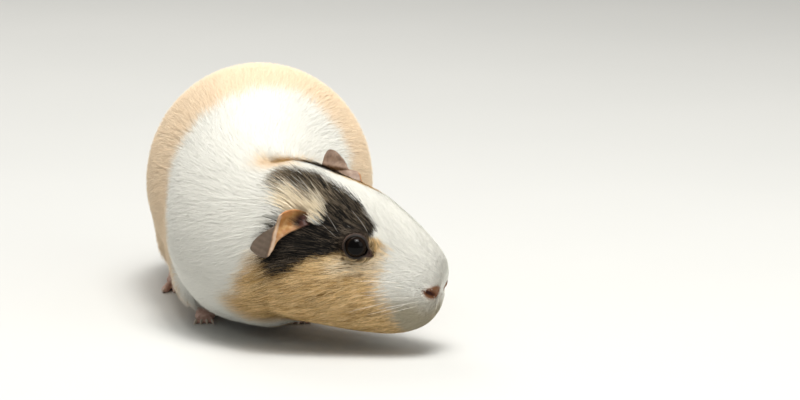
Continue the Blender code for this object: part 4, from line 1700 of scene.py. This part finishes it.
# %% Claws
CLAW_LENGTH = 4.4
CLAW_RADIUS = 0.8
CLAW_BEND = math.radians(42)
CLAW_STEPS = 12
CLAW_SIDES = 12
CLAW_LIFT = math.radians(-8)  # a claw leaves the toe a little upwards
CLAW_TIP = 0.06
CLAW_FLAT = 0.72  # its width over its height
HORN = ((0.62, 0.50, 0.40), (0.80, 0.72, 0.62))


def claw_finish():
    made, graph, shader = finish_with("claw_horn", HORN[1], Roughness=0.35)
    grain = graph.noise(object_place(graph) * (1.0, 0.25, 1.0), 2.5, 3)
    paint(graph, shader, graph.mix(grain, *HORN))
    emboss(graph, shader, grain, 0.3, 0.1 * MM)
    return made


def claw_form(name, root, heading):
    """A horn swept along an arc that turns downwards."""
    form = bmesh.new()
    side = heading.cross(UP).normalized()
    place, rows = root.copy(), []
    for k in range(CLAW_STEPS + 1):
        t = k / CLAW_STEPS
        dip = CLAW_LIFT + CLAW_BEND * t
        way = heading * math.cos(dip) - UP * math.sin(dip)
        over = side.cross(way)
        thick = (CLAW_RADIUS * (1 - t) ** 0.7 + CLAW_TIP) * MM
        rims = [side * math.cos(a) * CLAW_FLAT + over * math.sin(a) for a in ring_angles(CLAW_SIDES)]
        rows.append([form.verts.new(place + rim * thick) for rim in rims])
        place = place + way * CLAW_LENGTH / CLAW_STEPS * MM
    join_rows(form, rows, closed=True)
    form.faces.new(rows[0])
    form.faces.new(rows[-1])
    bmesh.ops.recalc_face_normals(form, faces=form.faces)
    made = add_form(name, form)
    made.data.shade_smooth()
    return made


CLAW_HORN = claw_finish()
for foot in FEET:
    for side in SIDES:
        thick = foot.width / foot.toes * 0.5 * MM
        for k, (_, end, heading) in enumerate(toe_lines(foot, side), 1):
            claw = claw_form(f"horn_{foot.kind}_{side}_{k}", end + UP * thick * 0.95, heading)
            dress(claw, CLAW_HORN, "claw", f"claw_{foot.kind}_{side}_{k}")
print("claws:", sum(foot.toes for foot in FEET) * 2)

# %% [markdown]
# ## The coat
#
# The coat is nearly half a million tufts. Each is a thin blade with five corners. A Geometry Nodes
# tree scatters their roots over one region of the skin, then walks from each root in two steps
# along the direction of the hair. After each step it drops back to the skin and rises by a share
# of the coat's depth, so a tuft follows the curve of the body and lies on its neighbours. Hair
# clings together in locks: the skin is parted into irregular cells, each tuft draws in towards the
# middle of its own cell, and the light falls on a cell as if it were round. One slow noise bends
# whole groups of locks. The normals otherwise lean to the skin's own, so that the coat takes the
# light softly, as fur does. A whisker walks too, but freely, and it is a thin tube.

# %% The blade of a tuft and the tube of a whisker
# across, over and along each strand, in shares of its width and length, and the step it is at
BLADE = (
    (-0.7, 0, 0.0, 0),
    (0.7, 0, 0.0, 0),
    (-1.0, 0, 0.5, 1),
    (1.0, 0, 0.5, 1),
    (0.0, 0, 1.0, 2),
)
BLADE_FACES = ((0, 1, 3, 2), (2, 3, 4))
WHISKER_STEPS = 9


def strand_object(name, rows, faces):
    mesh = bpy.data.meshes.new(name)
    mesh.from_pydata([(across, along, over) for across, over, along, _ in rows], [], faces)
    for key, column in (("across", 0), ("over", 1), ("along", 2), ("step", 3)):
        made = mesh.attributes.new(key, "FLOAT", "POINT")
        made.data.foreach_set("value", [float(row[column]) for row in rows])
    obj = add_object(name, mesh)
    obj.hide_render = True
    return obj


def whisker_rows():
    """A three-sided tube that narrows to a point."""
    rows, faces = [], []
    for k in range(WHISKER_STEPS):
        fat = 1 - 0.85 * k / WHISKER_STEPS
        for turn in (0, 1, 2):
            angle = 2 * math.pi * turn / 3
            rows.append((fat * math.cos(angle), fat * math.sin(angle), k / WHISKER_STEPS, k))
            if k:
                a, b = 3 * k + turn, 3 * k + (turn + 1) % 3
                faces.append((a - 3, b - 3, b, a))
    rows.append((0, 0, 1.0, WHISKER_STEPS))
    tip = len(rows) - 1
    faces += [(tip - 3 + turn, tip - 3 + (turn + 1) % 3, tip) for turn in (0, 1, 2)]
    return rows, faces


blade = strand_object("blade", BLADE, BLADE_FACES)
whisker = strand_object("whisker_shape", *whisker_rows())
print("blade:", len(BLADE_FACES), "faces; whisker:", len(whisker.data.polygons), "faces")

# %% Boxes that both trees use
PATCH = 0.003  # of a tuft on the bake map
ROOT_SINK = 0.25 * MM
EVERY_WAY = ((-1.0, -1.0, -1.0), (1.0, 1.0, 1.0))


def new_tree(name, inputs):
    """A Geometry Nodes tree with named inputs, its graph, and its inputs as wires."""
    tree = bpy.data.node_groups.new(name, "GeometryNodeTree")
    for label, kind in inputs.items():
        tree.interface.new_socket(label, in_out="INPUT", socket_type=f"NodeSocket{kind}")
    tree.interface.new_socket("Result", in_out="OUTPUT", socket_type="NodeSocketGeometry")
    graph = Graph(tree)
    entry = tree.nodes.new("NodeGroupInput")
    return tree, graph, {label: Wire(graph, entry.outputs[label]) for label in inputs}


def end_tree(tree, graph, geometry):
    leave = tree.nodes.new("NodeGroupOutput")
    graph.plug(leave.inputs["Result"], geometry)
    return tree


def stored(graph, geometry, name, value, kind="FLOAT_VECTOR", domain="POINT"):
    settings = dict(data_type=kind, domain=domain)
    return graph.node(
        "GeometryNodeStoreNamedAttribute", settings, Geometry=geometry, Name=name, Value=value
    )


def named(graph, name, kind="FLOAT"):
    return graph.node("GeometryNodeInputNamedAttribute", dict(data_type=kind), Name=name)


def at_skin(graph, mesh, value, place):
    """The value that the skin has at its point nearest to a place."""
    settings = dict(data_type="FLOAT_VECTOR")
    return graph.node(
        "GeometryNodeSampleNearestSurface", settings, Mesh=mesh, Value=value, Sample_Position=place
    )


def random_value(graph, low, high, seed):
    """A random number or, between two tuples, a random vector for each root."""
    settings = dict(data_type="FLOAT_VECTOR" if isinstance(low, tuple) else "FLOAT")
    return graph.node("FunctionNodeRandomValue", settings, Min=low, Max=high, Seed=seed)


print("a tuft's patch on the map is", PATCH, "across")


# %% Roots on the skin, and a strand from each
def roots_on(graph, given):
    """Points scattered over a bed of the skin, and over one region unless that is negative."""
    in_region = abs(named(graph, "region") - given["Region"]).step(0.51, 0.49)
    in_region = graph.larger(in_region, given["Region"].step(-0.4, -0.6))
    return graph.node(
        "GeometryNodeDistributePointsOnFaces",
        dict(distribute_method="RANDOM"),
        Mesh=given["Skin"],
        Density=given["Roots per square metre"] * named(graph, given["Bed"]) * in_region,
        Seed=given["Seed"],
    )


def strands_along(graph, given, roots, steps, sides, chance):
    """A strand from each root through its steps, with its bake patch and finish."""
    points = roots
    for k, step in enumerate(steps):
        points = stored(graph, points, f"step_{k}", step)
    for key, side in sides.items():
        points = stored(graph, points, f"toward_{key}", side)
    position = graph.node("GeometryNodeInputPosition")
    points = stored(graph, points, "root", position)
    points = stored(graph, points, "chance", chance, "FLOAT")
    strand = graph.node("GeometryNodeObjectInfo", None, "Geometry", Object=given["Strand"])
    scattered = graph.node("GeometryNodeInstanceOnPoints", None, Points=points, Instance=strand)
    loose = graph.node("GeometryNodeRealizeInstances", None, Geometry=scattered)
    number = named(graph, "step")
    place = named(graph, "step_0", "FLOAT_VECTOR")
    for k in range(1, len(steps)):
        nth = named(graph, f"step_{k}", "FLOAT_VECTOR")
        place = place + (nth - place) * number.step(k - 0.6, k - 0.4)
    for key in sides:
        place = place + named(graph, f"toward_{key}", "FLOAT_VECTOR") * named(graph, key)
    bent = graph.node("GeometryNodeSetPosition", None, Geometry=loose, Position=place)
    u = named(graph, "unrolled_u") + named(graph, "across") * (PATCH / 2)
    v = named(graph, "unrolled_v") + (named(graph, "along") - 0.5) * PATCH
    corner = graph.node("ShaderNodeCombineXYZ", None, X=u, Y=v)
    mapped = stored(graph, bent, "OFBake", corner, "FLOAT2", "CORNER")
    return graph.node("GeometryNodeSetMaterial", None, Geometry=mapped, Material=given["Finish"])


print("steps of a whisker:", WHISKER_STEPS)

# %% The tree that grows a region of the coat
STEP_LIFTS = (0.74, 1.0)
WAVE_SIZE = 0.16  # noise cells per millimetre
WAVE_BEND = 0.42
LOCK_PULLS = (0.5, 1.0)  # how far each step draws in to the middle of its lock
STREAK_SIZE = 1.9  # noise cells per millimetre
STREAK_STEP = 0.55  # millimetres between its samples along the hair
STREAK_REACH = 5
# chance makes a tuft this share of its full size at least, and adds up to the second number
LENGTH_CHANCE = (0.72, 0.5)
WIDTH_CHANCE = (0.75, 0.5)
LOFT_CHANCE = (0.76, 1.1)  # the least and the most
MOST_ROLL = 0.4
SHARED_INPUTS = {
    "Skin": "Geometry",
    "Strand": "Object",
    "Region": "Float",
    "Bed": "String",
    "Roots per square metre": "Float",
    "Half width": "Float",
    "Spread": "Float",
    "Seed": "Int",
    "Finish": "Material",
}
COAT_MEASURES = ("Length share", "Loft share", "Locks per millimetre", "Lock pull")
COAT_INPUTS = {**SHARED_INPUTS, **dict.fromkeys(COAT_MEASURES, "Float")}


def shared(chance, shares):
    """A share of a size: the first number, and up to the second more by chance."""
    return chance * shares[1] + shares[0]


def combed_noise(graph, position, lie):
    """Noise drawn out along the hair, from 0 to 1: the mean of samples up and down it."""
    samples = [
        graph.noise((position + lie * (k * STREAK_STEP * MM)) * (1 / MM), STREAK_SIZE, 1)
        for k in range(-STREAK_REACH, STREAK_REACH + 1)
    ]
    return (sum(samples[1:], samples[0]) * (1 / len(samples))).step(0.43, 0.57)


def coat_tree():
    tree, graph, given = new_tree("coat", COAT_INPUTS)
    skin_mesh, seed = given["Skin"], given["Seed"]
    position = graph.node("GeometryNodeInputPosition")
    chance = random_value(graph, 0.0, 1.0, seed)
    wave = graph.noise(position * (1 / MM), WAVE_SIZE, 2, out="Color") - (0.5, 0.5, 0.5)
    stray = random_value(graph, *EVERY_WAY, seed + 1) * given["Spread"] + wave * WAVE_BEND
    reach = named(graph, "hair") * given["Length share"] * shared(chance, LENGTH_CHANCE)
    rise = named(graph, "loft") * given["Loft share"] * random_value(graph, *LOFT_CHANCE, seed + 2)
    outward = named(graph, "outward", "FLOAT_VECTOR")
    lie = named(graph, "lie", "FLOAT_VECTOR")
    cells = dict(Vector=position * (1 / MM), Scale=given["Locks per millimetre"])
    inward = graph.node("ShaderNodeTexVoronoi", None, "Position", **cells) * MM - position
    inward = inward - outward * inward.dot(outward)
    heading = (lie + stray).unit()
    place = position
    steps = [position - outward * ROOT_SINK]
    for lift, pull in zip(STEP_LIFTS, LOCK_PULLS):
        goal = place + heading * (reach / len(STEP_LIFTS))
        goal = goal + inward * (given["Lock pull"] * pull / sum(LOCK_PULLS))
        place = at_skin(graph, skin_mesh, position, goal)
        normal = at_skin(graph, skin_mesh, outward, goal)
        flow = at_skin(graph, skin_mesh, lie, goal)
        steps.append(place + normal * (rise * lift))
        heading = (flow + stray).unit()
    flat_side = (steps[-1] - steps[0]).unit().cross(outward).unit()
    roll = random_value(graph, -MOST_ROLL, MOST_ROLL, seed + 3)
    width = given["Half width"] * shared(chance, WIDTH_CHANCE)
    sides = {"across": (flat_side + outward * roll).unit() * width}
    bulge = inward * (given["Locks per millimetre"] * (-1 / MM))
    roots = stored(graph, roots_on(graph, given), "bulge", bulge)
    roots = stored(graph, roots, "streak", combed_noise(graph, position, lie), "FLOAT")
    return end_tree(tree, graph, strands_along(graph, given, roots, steps, sides, chance))


COAT_TREE = coat_tree()
print("coat tree:", len(COAT_TREE.nodes), "nodes")

# %% The tree that grows whiskers
WHISKER_INPUTS = {**SHARED_INPUTS, **dict.fromkeys(("Length", "Stand", "Sweep"), "Float")}
SWEEP_BACK = 0.10  # how much each step turns to the lie of the hair, off the skin and down
TURN_OFF = 0.03
DROOP = (0.0, 0.0, -0.035)
WHISKER_LENGTHS = (0.5, 0.6)  # shares: the least, and what chance adds
WHISKER_WIDTHS = (0.7, 0.5)


def whisker_tree():
    tree, graph, given = new_tree("whiskers", WHISKER_INPUTS)
    seed = given["Seed"]
    position = graph.node("GeometryNodeInputPosition")
    chance = random_value(graph, 0.0, 1.0, seed)
    outward = named(graph, "outward", "FLOAT_VECTOR")
    lie = named(graph, "lie", "FLOAT_VECTOR")
    stray = random_value(graph, *EVERY_WAY, seed + 1) * given["Spread"]
    heading = (outward * given["Stand"] + lie * given["Sweep"] + stray).unit()
    reach = given["Length"] * shared(chance, WHISKER_LENGTHS) / WHISKER_STEPS
    place = position
    steps = [position - outward * ROOT_SINK]
    for _ in range(WHISKER_STEPS):
        place = place + heading * reach
        steps.append(place)
        heading = (heading + lie * SWEEP_BACK - outward * TURN_OFF + DROOP).unit()
    along = (steps[-1] - steps[0]).unit()
    across = along.cross(outward).unit()
    width = given["Half width"] * shared(chance, WHISKER_WIDTHS)
    sides = {"across": across * width, "over": along.cross(across) * (width * -1.0)}
    roots = roots_on(graph, given)
    return end_tree(tree, graph, strands_along(graph, given, roots, steps, sides, chance))


WHISKER_TREE = whisker_tree()
print("whisker tree:", len(WHISKER_TREE.nodes), "nodes")


# %% Growing with a tree, and softening what grew
def set_inputs(modifier, values):
    """Sets the inputs of a Geometry Nodes modifier, each by its socket's identifier."""
    for item in modifier.node_group.interface.items_tree:
        if item.item_type == "SOCKET" and item.in_out == "INPUT" and item.name in values:
            modifier[item.identifier] = values[item.name]


def grown(name, tree, base_mesh, values):
    """The plain mesh that a tree makes on a base mesh, as an object of its own."""
    obj = add_object(name, base_mesh)
    modifier = obj.modifiers.new("grow", "NODES")
    modifier.node_group = tree
    set_inputs(modifier, values)
    settled(obj)
    return obj


NEEDED = {"root", "along", "chance", "streak", "position", "OFBake", "material_index", "sharp_face"}
SOFT_SHARE = 0.84
LOCK_ROUND = 0.55  # how much a lock is shaded as a round thing


def drop_numbers(mesh):
    """Drops the attributes that only the tree used."""
    for name in [a.name for a in mesh.attributes if a.name not in NEEDED and not a.is_internal]:
        if not name.startswith("."):
            mesh.attributes.remove(mesh.attributes[name])


def soften(mesh):
    """Leans the blades' normals to the skin's, and to the sides of the lock."""
    own = normals_of(mesh)
    outward, bulge = (numbers_of(mesh.attributes[n].data, "vector") for n in ("outward", "bulge"))
    agree = np.sign((own * outward).sum(1))[:, None]
    leaning = outward * SOFT_SHARE + own * agree * (1 - SOFT_SHARE)
    mesh.shade_smooth()
    mesh.normals_split_custom_set_from_vertices(unit_rows(leaning + bulge * LOCK_ROUND))


# %% [markdown]
# ## The finish of the coat
#
# A tuft takes the colour of the markings at its root, with painted shade that makes it a little
# darker near the skin, and lighter at the tip, and no two are quite alike. Neighbours along the
# hair share most of their tone: the streak, which was read from noise combed along the coat, draws
# the fine lines on the cheek and the brown strands on the crown, which are partly a painted sheen
# on the black. Buff hair has the widest spread, from nearly white to brown.

# %% Coat and whisker finishes
BROWN_STRAND = (0.33, 0.19, 0.065)
# brown tips of some black tufts: partly brown hair, partly a painted sheen
BLACK_TIP_SHEEN = (0.20, 0.155, 0.112)
STREAK_SHARE = 0.72  # of a tuft's paleness, and the rest is chance
HAIR_SOFT = 0.7  # millimetres that the borders are blurred by, for one tuft
# of a tuft's paleness, from 0 to 1
PALE_TUFTS = (0.5, 0.85)
BROWN_TUFTS = (0.5, 0.12)
TIPPED_TUFTS = (0.5, 0.9)
STRAND_SHARE = 0.9
ROOT_PAINTED_SHADE = (0.08, 0.12, 1.6)  # painted shade near the skin: on white hair, how much more on buff, and both times this
MUZZLE_TONES = (26, 8)  # behind the nose tip
TONE_SPREAD = (0.12, 0.4, 0.14)  # of any hair, how much more on buff, and on the muzzle
MIDDLE_TONE = 0.97
TIP_ALONG = (0.1, 0.8)
TIP_SHARE = 0.75


def hair_attribute(graph, name, out="Fac"):
    return graph.node("ShaderNodeAttribute", dict(attribute_name=name), out)


def coat_finish():
    made, graph, shader = finish_with("coat_hair", WHITE, Roughness=0.62, Specular_IOR_Level=0.12)
    root = hair_attribute(graph, "root", "Vector") * (1 / MM)
    along, chance, streak = (hair_attribute(graph, n) for n in ("along", "chance", "streak"))
    pale = streak * STREAK_SHARE + chance * (1 - STREAK_SHARE)
    colour, black, buff = markings(graph, root, HAIR_SOFT, pale - 0.5)
    for tufts, tone in ((PALE_TUFTS, PALE_BUFF), (BROWN_TUFTS, BROWN_STRAND)):
        colour = graph.mix(buff * pale.step(*tufts) * STRAND_SHARE, colour, tone)
    dark, more, times = ROOT_PAINTED_SHADE
    # painted shade: each tuft darker towards its root, where the hair above would shade it
    painted_root_shade = (buff * more + dark) * (1 - along) * times
    muzzle = head_terms(graph, root)[0].step(*MUZZLE_TONES)
    least, on_buff, on_muzzle = TONE_SPREAD
    spread = buff * on_buff + muzzle * on_muzzle + least
    colour = colour * (MIDDLE_TONE - painted_root_shade + (pale - 0.5) * spread)
    # partly a painted sheen: brown towards the tips of some black tufts
    brown_tip_sheen = black * along.step(*TIP_ALONG) * pale.step(*TIPPED_TUFTS)
    paint(graph, shader, graph.mix(brown_tip_sheen * TIP_SHARE, colour, BLACK_TIP_SHEEN))
    return made


def whisker_finish(name, base, tip):
    made, graph, shader = finish_with(name, base, Roughness=0.4)
    along, chance = hair_attribute(graph, "along"), hair_attribute(graph, "chance")
    colour = graph.mix(along.step(0.0, 0.7), base, tip)
    paint(graph, shader, colour * (0.85 + chance * 0.15))
    return made


COAT_HAIR = coat_finish()
WHISKER_HAIR = whisker_finish("whisker_hair", (0.72, 0.66, 0.56), (0.92, 0.90, 0.86))
print("finishes:", COAT_HAIR.name, WHISKER_HAIR.name)

# %% [markdown]
# ## Growing the coat
#
# Hair is finest and closest on the face and coarser towards the rump, so each part of the body has
# a crop of its own: how many tufts on a square millimetre, their half width, how far they stray,
# shares of the length and loft kept on the skin, the size and strength of the locks, and the bed
# that they grow in. Three more crops are the long tufts above, below and at the root of the ears.
# The map that each piece carries has a small patch for every tuft at its root's own place.

# %% Growing the regions
Crop = namedtuple("Crop", "density half_width spread length loft locks pull bed")
FACE_CROP = Crop(21.0, 0.082, 0.16, 1.0, 1.0, 1.1, 0.45, "crowd")
HEAD_CROP = Crop(12.0, 0.09, 0.16, 1.0, 1.0, 0.8, 0.5, "crowd")
NECK_CROP = Crop(9.0, 0.10, 0.16, 1.0, 1.0, 0.6, 0.45, "crowd")
BODY_CROP = Crop(6.6, 0.115, 0.15, 1.0, 1.0, 0.5, 0.4, "crowd")
CROPS = {
    "face_right": FACE_CROP,
    "face_left": FACE_CROP,
    "head_right": HEAD_CROP._replace(density=13.4),
    "head_left": HEAD_CROP,
    "neck_right": NECK_CROP._replace(density=10.0),
    "neck_left": NECK_CROP,
    "back": BODY_CROP,
    "flank_right": BODY_CROP,
    "flank_left": BODY_CROP,
    "rump_right": BODY_CROP,
    "rump_left": BODY_CROP,
    "belly": BODY_CROP._replace(density=3.6, half_width=0.16),
    "ear_top": HEAD_CROP._replace(density=8.0, length=1.5, loft=1.5, bed="ear_top_bed"),
    "ear_foot": HEAD_CROP._replace(density=9.0, length=1.35, loft=1.5, bed="ear_foot_bed"),
    "ear_root": HEAD_CROP._replace(density=12.0, length=1.0, loft=2.0, bed="ear_root_bed"),
}
QUICK_SHARE = 1.0
FIRST_SEED = 20
SEEDS_APART = 10
PER_SQUARE_METRE = 1e6
BLADE_TRIANGLES = sum(len(face) - 2 for face in BLADE_FACES)


def coat_values(crop, region_number, seed):
    return {
        "Strand": blade,
        "Region": float(region_number),
        "Bed": crop.bed,
        "Roots per square metre": crop.density * PER_SQUARE_METRE * QUICK_SHARE,
        "Half width": crop.half_width * MM / math.sqrt(QUICK_SHARE),
        "Spread": crop.spread,
        "Length share": crop.length,
        "Loft share": crop.loft,
        "Locks per millimetre": crop.locks,
        "Lock pull": crop.pull,
        "Seed": seed,
        "Finish": COAT_HAIR,
    }


coat_triangles = 0
for order, (name, crop) in enumerate(CROPS.items()):
    region_number = REGIONS.index(name) if name in REGIONS else -1
    values = coat_values(crop, region_number, FIRST_SEED + order * SEEDS_APART)
    coat = grown(f"coat_{name}", COAT_TREE, skin.data, values)
    soften(coat.data)
    drop_numbers(coat.data)
    triangles = BLADE_TRIANGLES * len(coat.data.vertices) // len(BLADE)
    coat_triangles += triangles
    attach(coat, "root")
    print(coat.name, triangles, "triangles")
bpy.data.objects.remove(blade)
print("coat:", coat_triangles, "triangles")

# %% [markdown]
# ## Whiskers
#
# The longest hairs stand in beds of their own: the whiskers beside the nose, a few over each eye
# and a few on the cheek. They leave the skin at a slant and sweep back in a shallow curve.

# %% Growing the whiskers, brow hairs and cheek hairs
FIRST_WHISKER_SEED = 300
WhiskerSet = namedtuple("WhiskerSet", "bed density half_width spread length stand sweep")
WHISKER_SETS = {
    "whiskers": WhiskerSet("whisker_bed", 0.26, 0.08, 0.18, 19.5, 0.25, 0.96),
    "brow_hairs": WhiskerSet("brow_bed", 0.22, 0.075, 0.20, 15, 0.30, 0.9),
    "cheek_hairs": WhiskerSet("cheek_bed", 0.30, 0.07, 0.10, 27, 0.24, 1.0),
}
for order, (name, chosen) in enumerate(WHISKER_SETS.items()):
    values = {
        "Strand": whisker,
        "Region": -1.0,
        "Bed": chosen.bed,
        "Roots per square metre": chosen.density * PER_SQUARE_METRE,
        "Half width": chosen.half_width * MM,
        "Spread": chosen.spread,
        "Length": chosen.length * MM,
        "Stand": chosen.stand,
        "Sweep": chosen.sweep,
        "Seed": FIRST_WHISKER_SEED + order * SEEDS_APART,
        "Finish": WHISKER_HAIR,
    }
    piece = grown(name, WHISKER_TREE, skin.data, values)
    piece.data.shade_smooth()
    drop_numbers(piece.data)
    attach(piece, "root")
    print(piece.name, len(piece.data.vertices) // len(whisker.data.vertices), "hairs")
bpy.data.objects.remove(whisker)
